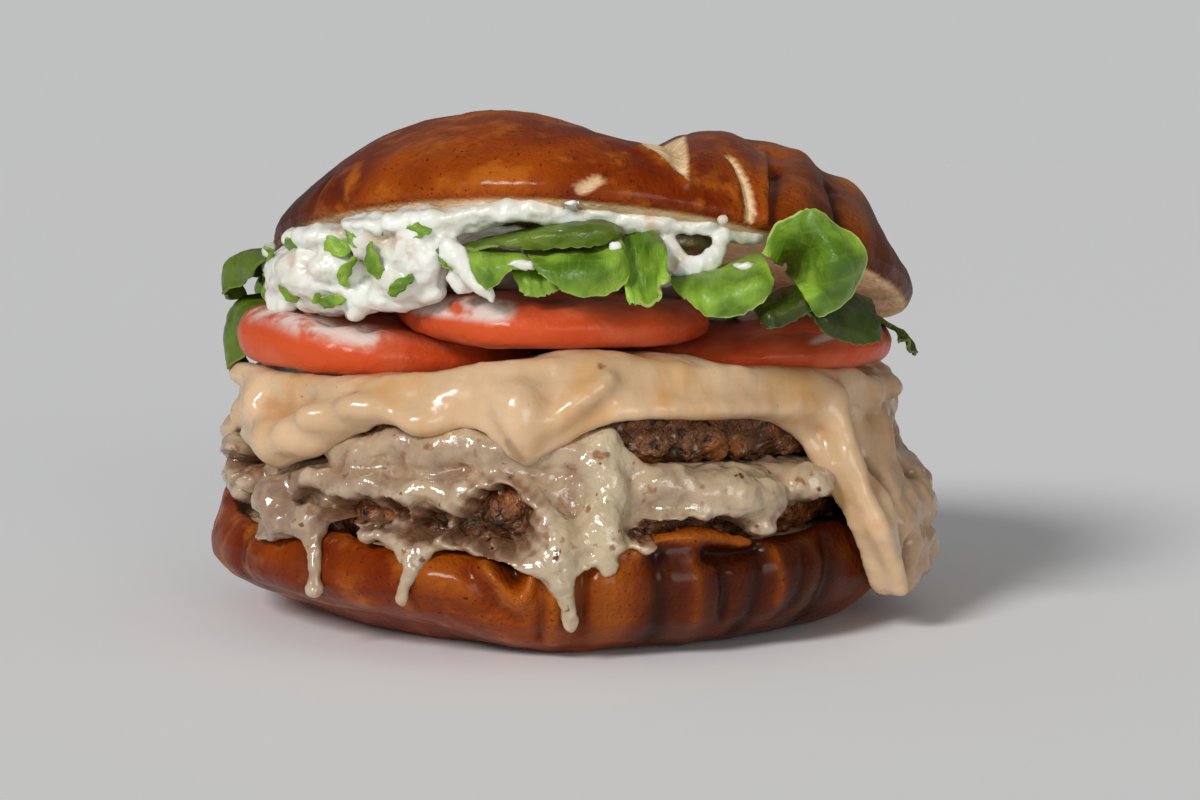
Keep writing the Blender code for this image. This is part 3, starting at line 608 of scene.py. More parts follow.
UPPER_STRINGS = (
    (((-50.6, -18.0, 40.4), (-44.0, -28.6, 40.2), (-36.0, -36.6, 40.0), (-27.0, -42.4, 40.4),
      (-18.0, -46.2, 41.6), (-9.0, -48.8, 43.4), (0.0, -49.8, 44.4), (10.0, -48.8, 43.9),
      (20.0, -45.8, 43.0), (30.0, -40.8, 42.0), (40.0, -33.4, 41.0), (48.0, -24.0, 40.2)), (2.3,) * 12),
    (((-4.6, -52.0, 39.4), (-3.8, -53.2, 35.4), (-3.5, -53.2, 32.0), (-3.4, -52.6, 30.2)),
     (4.4, 3.7, 2.3, 1.3)),
    (((9.0, -52.8, 43.0), (3.0, -54.4, 38.6), (-2.4, -54.6, 33.8)), (1.6, 1.5, 1.2)),
    (((-9.4, -51.6, 41.5), (-6.4, -53.8, 36.4), (-4.6, -54.0, 32.8)), (1.6, 1.4, 1.0)),
    (((10.5, -52.0, 37.9), (18.0, -50.1, 38.1), (25.0, -47.0, 37.8), (32.0, -42.8, 37.4),
      (38.5, -37.4, 37.0), (43.0, -33.0, 36.0)), (1.9, 1.8, 1.7, 1.8, 2.0, 2.2)),
    (((44.0, -32.5, 38.0), (45.4, -34.6, 33.0), (46.8, -35.6, 28.0), (48.8, -36.4, 23.0),
      (51.2, -36.0, 18.0), (53.8, -33.8, 12.2), (55.6, -30.6, 6.9)), (2.9, 2.4, 2.6, 2.1, 2.3, 1.9, 1.5)),
)
# Seared spots and the dark edge of the tongue.
BROWN_BITS = (
    (-7.3, -53.0, 41.0), (-6.9, -54.0, 36.4), (-6.2, -54.6, 35.0), (7.6, -51.4, 44.8),
    (-17.0, -50.6, 41.6), (24.0, -48.4, 41.2), (-30.0, -45.4, 40.0), (-12.0, -52.6, 40.4),
)
TONGUE_EDGE = ((-6.6, -55.4, 33.4), (-4.4, -55.6, 30.6))
# Furrows in the sheet that hangs at the right, as on the bottom bun.
CURTAIN_MARKS = (
    (((60.5, 33.0), (61.5, 24.0), (63.0, 15.0), (65.0, 8.0)), 1.5, 2.6),
    (((78.0, 30.0), (94.0, 28.5)), 4.4, 2.4), (((74.0, 40.0), (92.0, 38.0)), 3.0, -0.6),
    (((72.0, 26.4), (77.0, 23.4)), 1.6, 2.6), (((75.0, 15.4), (82.0, 14.6)), 1.2, 1.3),
    (((66.6, 14.0), (68.4, 4.0)), 1.5, 2.6), (((70.0, 36.0), (82.0, 35.0)), 1.5, 1.4),
    (((84.0, 33.0), (86.0, 14.0)), 2.0, 1.6), (((100.0, 30.0), (102.0, 12.0)), 2.2, 1.5),
)


def make_cream_cheese():
    skin, tree, shader = shader_of("Cream melted cheese")
    cream = mixed(tree, patches(tree, 70.0, 0.5, 0.2), (0.68, 0.47, 0.285), (0.57, 0.38, 0.215))
    peach = mixed(tree, patches(tree, 95.0, 0.61, 0.12), cream, (0.60, 0.33, 0.13))
    # Painted shade: darker in the hollows of the cheese.
    sunk = mixed(tree, kept_value(tree, "hollow"), peach, (0.48, 0.235, 0.085))
    # Seared spots and the seared tongue edge, painted shade in the furrows of the hanging sheet, and a
    # darker lower part of that sheet.
    dim = mixed(tree, kept_value(tree, "browned"), sunk, (0.21, 0.100, 0.045))
    specks = mixed(tree, patches(tree, 900.0, 0.765, 0.02), dim, (0.10, 0.03, 0.012))
    tree.links.new(specks, shader.inputs["Base Color"])
    tree.links.new(between(tree, patches(tree, 160.0, 0.5, 0.2), 0.2, 0.38), shader.inputs["Roughness"])
    set_inputs(shader, {
        "Subsurface Weight": 0.3, "Subsurface Radius": (1.0, 0.6, 0.35), "Subsurface Scale": 0.0015,
        "Specular IOR Level": 0.3, "Coat Weight": 0.45, "Coat Roughness": 0.12,
    })
    relief(tree, shader, patches(tree, 260.0, 0.5, 0.4), 0.0003, 0.6)
    return skin


cream_cheese = make_cream_cheese()


def make_upper_cheese():
    item = copy_of("cheese_upper", "upper_cheese")
    add_balls(item, UPPER_BALLS)
    for line, widths in UPPER_STRINGS:
        add_string(item, line, widths)
    for grain, passes in UPPER_CHEESE_GRAINS:
        knead(item, grain, passes)
    coarsen(item, nearer_than(43.0), 0.06)
    points = points_of(item)
    outward, reach = outward_of(points)
    depth = marks_at(side_of(points), CURTAIN_MARKS) * eased(53.0, 58.0, reach)
    move_points(item, points - outward * depth[:, None])
    flat = side_of(points)
    beside = eased(61.0, 68.0, flat[:, 0]) * eased(130.0, 100.0, flat[:, 0])
    lumpy = item.vertex_groups.new(name="lumpy")
    for place in np.where(beside > 0.02)[0]:
        lumpy.add([int(place)], float(beside[place]), "REPLACE")
    roughen(item, "CLOUDS", 9.0, 1.1)
    roughen(item, "CLOUDS", 3.0, 0.25)
    roughen(item, "CLOUDS", 4.5, 1.8, "lumpy")
    bits = np.zeros(len(points))
    for bit in BROWN_BITS:
        bits = np.maximum(bits, eased(0.75, 0.35, np.linalg.norm(points - np.array(bit), axis=1)))
    edge = 0.6 * eased(1.5, 0.6, away_from(points, TONGUE_EDGE))
    # Painted shade: darker in the furrows of the hanging sheet.
    furrows = 0.85 * eased(0.4, 2.6, depth)
    # The hanging sheet at the right is darker from about 42 mm down.
    curtain = 0.38 * beside * eased(42.0, 36.0, flat[:, 1])
    store(item, "browned", np.maximum.reduce([bits, edge, furrows, curtain]))
    # How deep each point lies in a hollow, for the painted shade there.
    store(item, "hollow", 0.75 * eased(0.1, 1.0, depth_below(item, 160)))
    item.data.materials.append(cream_cheese)
    bpy.ops.object.shade_smooth()
    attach(item, "root")
    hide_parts("cheese_upper")


make_upper_cheese()

# Tomato slices. Four round slices of ripe tomato with a thin smooth skin round the side
# and wet flesh on both cut faces. They lie on the cheese and lean on one another.
TOMATO_GRAIN = 0.6
# Each slice: its middle and radius, how far its face domes, its seed hollows with their sizes
# and depths, and the line and width of the sauce smeared on it.
TOMATO_MIDDLES = {
    "left": (-27.0, -14.0, 24.6), "centre": (0.2, -25.0, 25.4),
    "right": (31.5, -12.0, 24.0), "back": (2.0, 22.0, 20.0),
}
TOMATO_CROWNS = {"left": 2.0, "centre": 2.8, "right": 1.6, "back": 0.6}
SEED_HOLLOWS = {
    "left": ((-34.0, -31.0, 2.4, 1.3), (-39.0, -24.5, 1.8, 1.0), (-29.0, -34.0, 1.6, 0.9)),
    "centre": ((0.0, -43.0, 2.4, 0.8), (12.0, -40.0, 2.2, 0.8)),
    "right": ((44.0, -24.0, 2.0, 0.7), (38.0, -28.0, 1.6, 0.6)),
    "back": ((4.0, 36.0, 2.6, 1.0), (-6.0, 34.0, 2.2, 0.9), (12.0, 30.0, 2.0, 0.9)),
}
SAUCE_HAZE = {
    "left": (((-45.0, -22.0, 51.0), (-38.0, -31.0, 50.2), (-29.0, -36.5, 49.6)), 3.4),
    "centre": (((-21.0, -38.0, 54.0), (-14.0, -44.0, 53.6), (-9.0, -47.5, 53.4)), 3.2),
    "right": (((40.0, -34.0, 47.5), (46.0, -27.0, 47.8)), 0.8),
    "back": (((0.0, 40.0, 45.0), (6.0, 40.0, 45.0)), 1.5),
}


def make_tomato_skin():
    skin, tree, shader = shader_of("Ripe tomato")
    flesh = mixed(tree, patches(tree, 130.0, 0.5, 0.2), (0.58, 0.115, 0.048), (0.48, 0.062, 0.018))
    rind = mixed(tree, patches(tree, 60.0, 0.5, 0.2), (0.60, 0.084, 0.020), (0.51, 0.060, 0.012))
    meshed = mixed(tree, kept_value(tree, "rind"), flesh, rind)
    hollow = mixed(tree, kept_value(tree, "hollow"), meshed, (0.32, 0.025, 0.010))
    place = add_node(tree, "ShaderNodeTexCoord")
    streak = add_node(tree, "ShaderNodeTexNoise", {
        "Vector": place.outputs["Object"], "Scale": 45.0, "Detail": 2.0, "Distortion": 1.2,
    })
    bands = add_node(tree, "ShaderNodeMapRange", {
        "Value": streak.outputs[0], "From Min": 0.54, "From Max": 0.64, "To Max": 0.36,
    })
    banded = mixed(tree, bands.outputs[0], hollow, (0.64, 0.16, 0.075))
    haze = add_node(tree, "ShaderNodeMath", {
        0: kept_value(tree, "haze"), 1: patches(tree, 240.0, 0.42, 0.12),
    }, operation="MULTIPLY")
    colour = mixed(tree, haze.outputs[0], banded, (0.70, 0.56, 0.50))
    tree.links.new(colour, shader.inputs["Base Color"])
    set_inputs(shader, {
        "Roughness": 0.38, "Specular IOR Level": 0.2, "Specular Tint": (1.0, 0.6, 0.45, 1.0),
        "Subsurface Weight": 0.25, "Subsurface Radius": (1.0, 0.3, 0.15), "Subsurface Scale": 0.0015,
        "Coat Weight": 0.15, "Coat Roughness": 0.15,
    })
    fine = relief(tree, shader, patches(tree, 900.0, 0.5, 0.3), 0.00012, 0.7)
    relief(tree, shader, patches(tree, 240.0, 0.5, 0.4), 0.0003, 0.6, fine)
    return skin


tomato_skin = make_tomato_skin()


def make_tomato(side):
    item = copy_of("tomato_" + side, side + "_tomato_slice")
    knead(item, TOMATO_GRAIN, 28)
    middle_x, middle_y, radius = TOMATO_MIDDLES[side]
    points = points_of(item)
    directions = directions_of(item)
    facing_up = eased(0.5, 0.9, directions[:, 2])
    hollow = np.zeros(len(points))
    for x, y, size, deep in SEED_HOLLOWS[side]:
        near = np.exp(-((np.hypot(points[:, 0] - x, points[:, 1] - y) / size) ** 2)) * facing_up
        hollow = np.maximum(hollow, near)
        points[:, 2] -= deep * near
    reach = np.hypot(points[:, 0] - middle_x, points[:, 1] - middle_y)
    dome = TOMATO_CROWNS[side] * np.clip(1.0 - (reach / radius) ** 2, 0.0, 1.0)
    fallen_rim = 0.7 * eased(radius - 5.0, radius, reach)
    points[:, 2] += (dome - fallen_rim) * eased(-0.2, 0.6, directions[:, 2])
    move_points(item, points)
    roughen(item, "CLOUDS", 9.0, 0.6)
    roughen(item, "CLOUDS", 1.5, 0.14)
    at_rim = eased(radius - 2.6, radius - 1.6, reach)
    store(item, "rind", eased(0.8, 0.45, np.abs(directions[:, 2])) * at_rim)
    store(item, "hollow", hollow)
    line, width = SAUCE_HAZE[side]
    smeared = eased(width * 1.5, width * 0.6, away_from(points, line))
    store(item, "haze", smeared * eased(0.1, 0.6, directions[:, 2]))
    item.data.materials.append(tomato_skin)
    bpy.ops.object.shade_smooth()
    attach(item, "root")
    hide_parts("tomato_" + side)


for side in TOMATO_MIDDLES:
    make_tomato(side)

# Lettuce. Thin ruffled leaves with pale toothed rims and a net of veins: a frilled one at
# the front, a fold above it, a curl that stands up at the right, ones below that which are
# coloured darker as painted shade, some that hang down at the left and one at the back.
# The roots lie between tomato and top bun.
LEAF_THICKNESS = 0.5
LEAF_STEPS = (44, 30)
SMOOTH_ANGLE = math.radians(50.0)
# Each lobe is a row of ribs, and each rib is a line of places from the root to the rim.
FRONT_LOBES = (
    (((-13.8, -44, 61.9), (-13.3, -49, 62.0), (-12.1, -51, 60.0), (-10.1, -52, 56.7)),
     ((-11.2, -44, 61.9), (-10.7, -50, 61.8), (-9.6, -53, 59.5), (-8.7, -53, 56.7)),
     ((-8.1, -44, 61.8), (-7.6, -50, 61.8), (-6.6, -53, 60.4), (-5.6, -53, 59.5)),
     ((-4.8, -44, 61.8), (-4.3, -50, 61.6), (-3.6, -52, 61.0), (-2.9, -52, 60.2))),
    (((-4.2, -44, 61.6), (-3.4, -50, 61.5), (-2.4, -54, 60.5), (-1.5, -55, 59.2)),
     ((-0.5, -44, 61.6), (0.3, -51, 61.5), (1.2, -56, 59.4), (2.1, -56, 56.7)),
     ((3.7, -44, 62.1), (4.5, -51, 62.1), (5.4, -57, 59.5), (6.0, -56, 55.4)),
     ((7.5, -44, 62.8), (8.4, -51, 62.9), (9.3, -56, 60.3), (10.1, -54, 56.6)),
     ((10.0, -44, 63.9), (10.4, -50, 63.9), (10.8, -52, 62.8), (11.0, -52, 61.0))),
    (((-6.7, -42, 59.5), (-5.9, -48, 59.2), (-5.4, -50, 58.0), (-4.8, -50, 56.2)),
     ((-3.3, -42, 59.5), (-2.8, -48, 59.2), (-2.3, -51, 57.6), (-1.7, -51, 55.2)),
     ((-0.2, -42, 59.5), (-0.1, -48, 59.2), (0.4, -50, 57.7), (1.1, -50, 56.3))),
    (((11.2, -46, 63.7), (10.8, -50, 61.5), (11.1, -53, 57.7), (12.2, -54, 54.6)),
     ((12.7, -46, 64.8), (12.7, -49, 62.0), (13.1, -51, 57.6), (13.8, -54, 54.0)),
     ((15.1, -48, 65.0), (15.3, -53, 62.6), (15.8, -53, 58.6), (16.0, -55, 55.4)),
     ((16.7, -50, 63.9), (17.4, -56, 62.7), (17.6, -57, 60.4), (17.7, -56, 58.4))),
    (((17.9, -44, 57.4), (18.1, -50, 57.5), (19.0, -52, 56.4), (20.1, -53, 55.3)),
     ((21.3, -44, 58.4), (21.6, -50, 58.3), (22.5, -55, 56.0), (23.5, -55, 53.0)),
     ((25.0, -44, 59.3), (25.2, -50, 59.2), (26.2, -56, 56.1), (27.2, -56, 52.5)),
     ((29.0, -44, 60.2), (29.1, -50, 60.1), (29.7, -57, 57.4), (30.3, -56, 53.9)),
     ((32.0, -44, 61.1), (32.2, -50, 61.0), (32.7, -54, 59.6), (33.3, -54, 57.9))),
)
FOLD_LOBES = (
    (((-13.7, -44, 62.4), (-13.7, -47, 62.4), (-13.6, -48, 62.1)),
     ((-9.1, -44, 63.6), (-8.2, -50, 63.8), (-7.9, -51, 62.9)),
     ((-2.8, -44, 65.5), (-2.0, -53, 64.7), (-1.8, -53, 62.6)),
     ((3.5, -44, 66.8), (4.0, -54, 65.6), (4.0, -54, 62.8)),
     ((8.1, -45, 66.6), (8.4, -54, 65.5), (8.4, -53, 63.6)),
     ((10.6, -46, 64.9), (10.8, -50, 64.8), (10.8, -50, 64.4))),
)
CURL_LOBES = (
    (((35.2, -38, 59.2), (34.1, -46, 60.0), (32.9, -51, 61.1), (31.9, -52, 61.9)),
     ((35.5, -38, 59.9), (34.7, -46, 61.6), (33.9, -52, 63.7), (33.5, -54, 65.6)),
     ((35.9, -38, 60.2), (35.9, -46, 62.3), (36.1, -53, 65.1), (36.9, -54, 68.0)),
     ((36.4, -38, 60.2), (37.3, -46, 62.2), (38.2, -55, 65.4), (39.7, -55, 68.4)),
     ((36.7, -38, 59.9), (38.3, -47, 61.6), (40.6, -57, 63.8), (44.4, -54, 65.6)),
     ((36.9, -38, 59.2), (38.7, -48, 60.4), (41.7, -58, 61.9), (46.4, -53, 62.6)),
     ((36.9, -38, 58.6), (38.7, -48, 59.1), (41.5, -58, 59.4), (46.5, -52, 57.4)),
     ((36.7, -38, 58.0), (38.2, -48, 57.7), (40.4, -56, 56.6), (43.7, -53, 53.9)),
     ((36.4, -38, 57.7), (37.2, -47, 56.9), (38.1, -54, 55.4), (39.9, -52, 52.7))),
)
RIGHT_LOBES = (
    (((30.3, -42, 53.6), (30.4, -49, 53.6), (31.0, -52, 52.7), (31.7, -53, 51.7)),
     ((32.8, -42, 54.8), (32.7, -49, 54.7), (32.9, -54, 53.1), (33.5, -54, 50.9)),
     ((35.8, -42, 55.8), (35.9, -49, 55.5), (36.3, -54, 54.0), (37.1, -53, 52.0)),
     ((39.2, -42, 56.4), (39.1, -48, 56.5), (39.5, -51, 55.9), (40.0, -51, 55.0))),
    (((38.6, -38, 55.5), (38.2, -44, 55.3), (38.1, -49, 54.0), (38.7, -50, 52.8)),
     ((42.0, -38, 55.2), (41.7, -44, 54.7), (41.8, -49, 52.0), (42.3, -48, 49.3)),
     ((46.2, -36, 54.7), (45.9, -41, 54.1), (46.1, -46, 50.7), (46.7, -46, 47.6)),
     ((50.0, -32, 53.5), (49.8, -37, 53.1), (50.1, -41, 50.7), (50.6, -41, 47.9))),
    (((51.0, -16, 49.6), (54.9, -20, 47.8), (55.6, -22, 46.0)),
     ((52.0, -13, 49.4), (56.3, -19, 47.0), (57.1, -21, 45.3)),
     ((52.6, -10, 49.0), (57.5, -16, 45.8), (58.2, -18, 43.4))),
)
LEFT_LOBES = (
    (((-42.0, -19, 57.6), (-45.5, -20, 58.6), (-47.2, -20, 57.8), (-48.0, -19, 56.6)),
     ((-43.0, -11, 58.4), (-49.5, -12, 59.6), (-53.0, -11, 57.8), (-53.2, -10, 53.6)),
     ((-43.0, -2, 58.6), (-50.0, -2, 59.4), (-54.0, -2, 57.0), (-53.4, -1, 51.4)),
     ((-43.0, 6, 58.2), (-49.4, 7, 59.2), (-53.0, 8, 57.0), (-53.6, 9, 53.4)),
     ((-42.0, 13, 57.2), (-46.0, 15, 57.8), (-48.0, 17, 57.2), (-48.6, 18, 56.2))),
    (((-45.0, -14, 51.2), (-48.4, -15, 51.0), (-50.0, -15, 49.4), (-50.4, -15, 47.6)),
     ((-46.0, -8, 51.8), (-51.8, -9, 51.0), (-53.6, -9, 46.9), (-52.6, -9, 41.4)),
     ((-46.0, 0, 52.0), (-52.8, 0, 50.8), (-54.6, 1, 45.3), (-53.4, 2, 39.4)),
     ((-45.0, 8, 51.6), (-51.2, 10, 50.6), (-53.4, 12, 46.1), (-52.6, 13, 41.0)),
     ((-44.0, 14, 51.0), (-47.8, 17, 50.4), (-49.6, 19, 48.6), (-49.8, 20, 46.8))),
    (((-44.0, 12, 55.6), (-48.0, 13, 55.8), (-50.0, 13, 54.8), (-50.6, 13, 53.2)),
     ((-43.0, 17, 55.8), (-49.4, 20, 55.6), (-52.0, 22, 52.6), (-51.4, 23, 48.6)),
     ((-41.0, 22, 55.4), (-46.8, 26, 55.2), (-49.4, 28, 52.4), (-49.0, 29, 48.2)),
     ((-39.0, 26, 54.8), (-42.6, 30, 54.6), (-44.4, 32, 53.4), (-44.8, 33, 52.0))),
)
BACK_PATH = ((42.0, 46.0), (46.0, 43.6), (51.0, 42.4), (55.5, 43.0), (58.5, 45.0))
BACK_TURNS = (84.0, 95.0, 106.0, 117.0, 128.0, 138.0, 146.0)


def smooth_run(rows, shares):
    """Values between the rows of a table, on a smooth curve, at shares from 0 to 1 along it."""
    spans = len(rows) - 1
    place = np.clip(shares, 0.0, 1.0) * spans
    first = np.minimum(place.astype(int), spans - 1)
    t = (place - first).reshape((-1,) + (1,) * (rows.ndim - 1))
    start, stop = rows[first], rows[first + 1]
    leaving = (stop - rows[np.maximum(first - 1, 0)]) / 2.0
    arriving = (rows[np.minimum(first + 2, spans)] - start) / 2.0
    bend = (t ** 3 - 2.0 * t ** 2 + t) * leaving + (t ** 3 - t ** 2) * arriving
    return (2.0 * t ** 3 - 3.0 * t ** 2 + 1.0) * start + (3.0 * t ** 2 - 2.0 * t ** 3) * stop + bend


def make_grid(across, along):
    """A flat square from -1 to 1 millimetres, to be bent, and its points."""
    bpy.ops.object.select_all(action="DESELECT")
    bpy.ops.mesh.primitive_grid_add(x_subdivisions=across, y_subdivisions=along, size=2.0 * MM)
    item = bpy.context.active_object
    return item, points_of(item)


def make_lobe(ribs, ruffle, waves, teeth):
    """A grid bent to a sheet through ribs that run from its root to its rim."""
    across, along = LEAF_STEPS
    item, flat = make_grid(across, along)
    flat = (flat + 1.0) / 2.0
    steps_u = np.linspace(0.0, 1.0, across + 1)
    steps_v = np.linspace(0.0, 1.0, along + 1)
    lengthwise = smooth_run(np.array(ribs, float).swapaxes(0, 1), steps_v)
    sheet = smooth_run(lengthwise.swapaxes(0, 1), steps_u)
    run_u, run_v = np.gradient(sheet, axis=0), np.gradient(sheet, axis=1)
    upright = np.cross(run_u, run_v)
    upright /= np.maximum(np.linalg.norm(upright, axis=2), 1e-9)[:, :, None]
    u, v = np.meshgrid(steps_u, steps_v, indexing="ij")
    wave = np.sin(2.0 * math.pi * (waves * u + 0.35 * v))
    wave += 0.45 * np.sin(2.0 * math.pi * (2.3 * waves * u + 0.6))
    sheet = sheet + upright * (ruffle * wave * v ** 2)[:, :, None]
    tooth = np.abs((teeth * u + 0.8 * np.sin(7.0 * u)) % 1.0 - 0.5) * 2.0
    outward = run_v / np.maximum(np.linalg.norm(run_v, axis=2), 1e-9)[:, :, None]
    at_rim = np.clip((v - 0.86) / 0.14, 0.0, 1.0)
    sheet = sheet + outward * (0.34 * (tooth - 0.5) * at_rim)[:, :, None]
    rows = np.rint(flat[:, 0] * across).astype(int)
    columns = np.rint(flat[:, 1] * along).astype(int)
    move_points(item, sheet[rows, columns])
    return item


def make_leaf_skin(name, deep, bright, rim):
    skin, tree, shader = shader_of(name)
    spot = add_node(tree, "ShaderNodeTexCoord").outputs["UV"]
    stretch = add_node(tree, "ShaderNodeMapping", {"Vector": spot, "Scale": (5.0, 2.6, 1.0)})
    net = add_node(tree, "ShaderNodeTexVoronoi", {"Vector": stretch.outputs[0], "Scale": 1.6},
                   feature="DISTANCE_TO_EDGE")
    vein = add_node(tree, "ShaderNodeMapRange", {
        "Value": net.outputs["Distance"], "From Min": 0.0, "From Max": 0.07, "To Min": 0.11, "To Max": 0.0,
    })
    axes = add_node(tree, "ShaderNodeSeparateXYZ", {0: spot})
    at_rim = add_node(tree, "ShaderNodeMapRange", {
        "Value": axes.outputs[1], "From Min": 0.965, "From Max": 1.0,
    })
    green = mixed(tree, patches(tree, 130.0, 0.5, 0.2), deep, bright)
    veined = mixed(tree, vein.outputs[0], green, rim)
    colour = mixed(tree, at_rim.outputs[0], veined, rim)
    tree.links.new(colour, shader.inputs["Base Color"])
    set_inputs(shader, {
        "Roughness": 0.4, "Specular IOR Level": 0.36, "Subsurface Weight": 0.2,
        "Subsurface Radius": (0.5, 1.0, 0.15), "Subsurface Scale": 0.0012,
    })
    sunk = add_node(tree, "ShaderNodeMath", {0: 1.0, 1: vein.outputs[0]}, operation="SUBTRACT")
    fine = relief(tree, shader, patches(tree, 500.0, 0.5, 0.3), 0.00025, 0.6)
    relief(tree, shader, sunk.outputs[0], 0.0004, 0.8, fine)
    return skin


leaf_skin = make_leaf_skin(
    "Lettuce leaf", (0.070, 0.155, 0.005), (0.290, 0.470, 0.045), (0.42, 0.54, 0.14),
)
side_leaf_skin = make_leaf_skin(
    "Side lettuce leaf", (0.060, 0.105, 0.004), (0.130, 0.200, 0.012), (0.22, 0.27, 0.05),
)
# Painted shade: the same lettuce, coloured much darker for the leaves in shade at the right.
dark_leaf_skin = make_leaf_skin(
    "Dark lettuce leaf", (0.018, 0.030, 0.001), (0.052, 0.080, 0.003), (0.12, 0.17, 0.03),
)


def joined(sheets, name):
    """Sheets joined to one piece."""
    choose(sheets[0])
    for sheet in sheets:
        sheet.select_set(True)
    if len(sheets) > 1:
        bpy.ops.object.join()
    item = bpy.context.active_object
    item.name = name
    return item


def thicken(item, thickness, skin):
    """A sheet made as thick as a leaf, with its skin on all sides."""
    apply_modifier(item, "SOLIDIFY", thickness=thickness * MM, offset=0.0)
    face_outward(item)
    item.data.materials.clear()
    item.data.materials.append(skin)
    bpy.ops.object.shade_smooth_by_angle(angle=SMOOTH_ANGLE)


def make_leaf(node, name, lobes, skin, ruffle=0.7, waves=1.6, teeth=9):
    item = joined([make_lobe(ribs, ruffle, waves, teeth) for ribs in lobes], name)
    roughen(item, "CLOUDS", 6.0, 1.3)
    roughen(item, "CLOUDS", 2.6, 0.7)
    thicken(item, LEAF_THICKNESS, skin)
    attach(item, "root")
    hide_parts(node)


def make_back_ribs():
    """The ribs of one broad leaf, the same path turned round the stack again and again."""
    ribs = []
    for turn in BACK_TURNS:
        x, y = math.cos(math.radians(turn)), math.sin(math.radians(turn))
        ribs.append(tuple((reach * x, reach * y, height) for reach, height in BACK_PATH))
    return (tuple(ribs),)


make_leaf("lettuce_front", "front_lettuce", FRONT_LOBES, leaf_skin, 0.6)
make_leaf("lettuce_fold", "folded_lettuce", FOLD_LOBES, side_leaf_skin, 0.35, 2.0, 16)
make_leaf("lettuce_curl", "curled_lettuce", CURL_LOBES, leaf_skin, 0.5, 3.0, 26)
make_leaf("lettuce_right", "dark_lettuce", RIGHT_LOBES, dark_leaf_skin, 0.6)
make_leaf("lettuce_left", "hanging_lettuce", LEFT_LOBES, side_leaf_skin, 1.3, 2.6, 11)
make_leaf("lettuce_back", "back_lettuce", make_back_ribs(), leaf_skin, 1.5, 4.5, 34)

# Pickle chip. A thin wet slice of pickle, olive brown, that stands in the sauce under the
# top bun with its darker skin round the edge.
CHIP_PLACE = (19.2, -39.5, 61.7)
CHIP_GRAIN = 0.35


def make_pickle_skin():
    skin, tree, shader = shader_of("Pickle")
    flesh = mixed(tree, patches(tree, 260.0, 0.5, 0.15), (0.30, 0.25, 0.10), (0.20, 0.16, 0.055))
    colour = mixed(tree, kept_value(tree, "rind"), flesh, (0.10, 0.085, 0.020))
    tree.links.new(colour, shader.inputs["Base Color"])
    set_inputs(shader, {"Roughness": 0.28, "Coat Weight": 0.3})
    relief(tree, shader, patches(tree, 700.0, 0.5, 0.3), 0.0003, 0.7)
    return skin


def make_chip():
    item = copy_of("pickle_chip", "pickle_slice")
    knead(item, CHIP_GRAIN, 3)
    roughen(item, "CLOUDS", 3.0, 0.35)
    away = np.linalg.norm(points_of(item) - np.array(CHIP_PLACE), axis=1)
    store(item, "rind", eased(5.3, 6.0, away))
    item.data.materials.append(make_pickle_skin())
    bpy.ops.object.shade_smooth()
    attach(item, "root")
    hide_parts("pickle_chip")


make_chip()

# Lettuce shreds. Small torn strips of leaf, mixed into the sauce where it is heaped at the
# left. They are curled, lie at all angles and are half buried in its surface.
SHRED_THICKNESS = 0.45
# Each strip: its middle, half its length and width, its tilt in degrees and how far it bends.
SHREDS = (
    ((-39.8, -34.6, 62.0), (4.4, 1.5), 8.0, 0.45), ((-34.6, -39.8, 62.4), (4.0, 1.5), -8.0, 0.4),
    ((-41.6, -32.2, 56.6), (3.6, 1.5), 78.0, 0.5), ((-37.6, -36.8, 56.4), (3.2, 1.3), 104.0, 0.4),
    ((-27.2, -46.0, 60.4), (2.8, 1.2), 112.0, 0.5), ((-20.2, -48.2, 65.0), (2.2, 1.1), 15.0, 0.4),
    ((-31.6, -42.2, 58.4), (2.4, 1.0), 58.0, 0.5), ((-23.0, -47.2, 56.6), (2.4, 0.9), 35.0, 0.4),
    ((-45.0, -22.4, 58.8), (2.4, 1.3), 62.0, -0.3), ((-46.2, -18.6, 54.4), (3.0, 1.6), 88.0, 0.4),
    ((-30.4, -42.6, 63.6), (2.4, 0.9), 150.0, 0.5), ((-15.8, -49.6, 61.0), (2.0, 1.0), 128.0, 0.4),
    ((-34.4, -38.6, 53.6), (2.6, 0.9), 10.0, 0.4), ((-25.4, -45.4, 65.6), (1.8, 0.8), 40.0, 0.5),
)


def make_shreds():
    made = []
    for place, (long, wide), tilt, bend in SHREDS:
        item, flat = make_grid(14, 8)
        along, across = flat[:, 0], flat[:, 1]
        edge = 1.0 - 0.35 * along ** 2 + 0.12 * np.sin(9.0 * along)
        depth = -bend * long * (along ** 2 + 0.6 * across * along)
        depth += 0.25 * np.sin(5.0 * along + 3.0 * across)
        turn = math.radians(tilt)
        x = along * long * math.cos(turn) - across * wide * edge * math.sin(turn)
        z = along * long * math.sin(turn) + across * wide * edge * math.cos(turn)
        facing = math.atan2(place[1], place[0]) + math.pi / 2
        move_points(item, np.column_stack([
            place[0] + x * math.cos(facing) + depth * math.sin(facing),
            place[1] + x * math.sin(facing) - depth * math.cos(facing),
            place[2] + z,
        ]))
        made.append(item)
    item = joined(made, "lettuce_shreds")
    thicken(item, SHRED_THICKNESS, leaf_skin)
    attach(item, "root")


make_shreds()

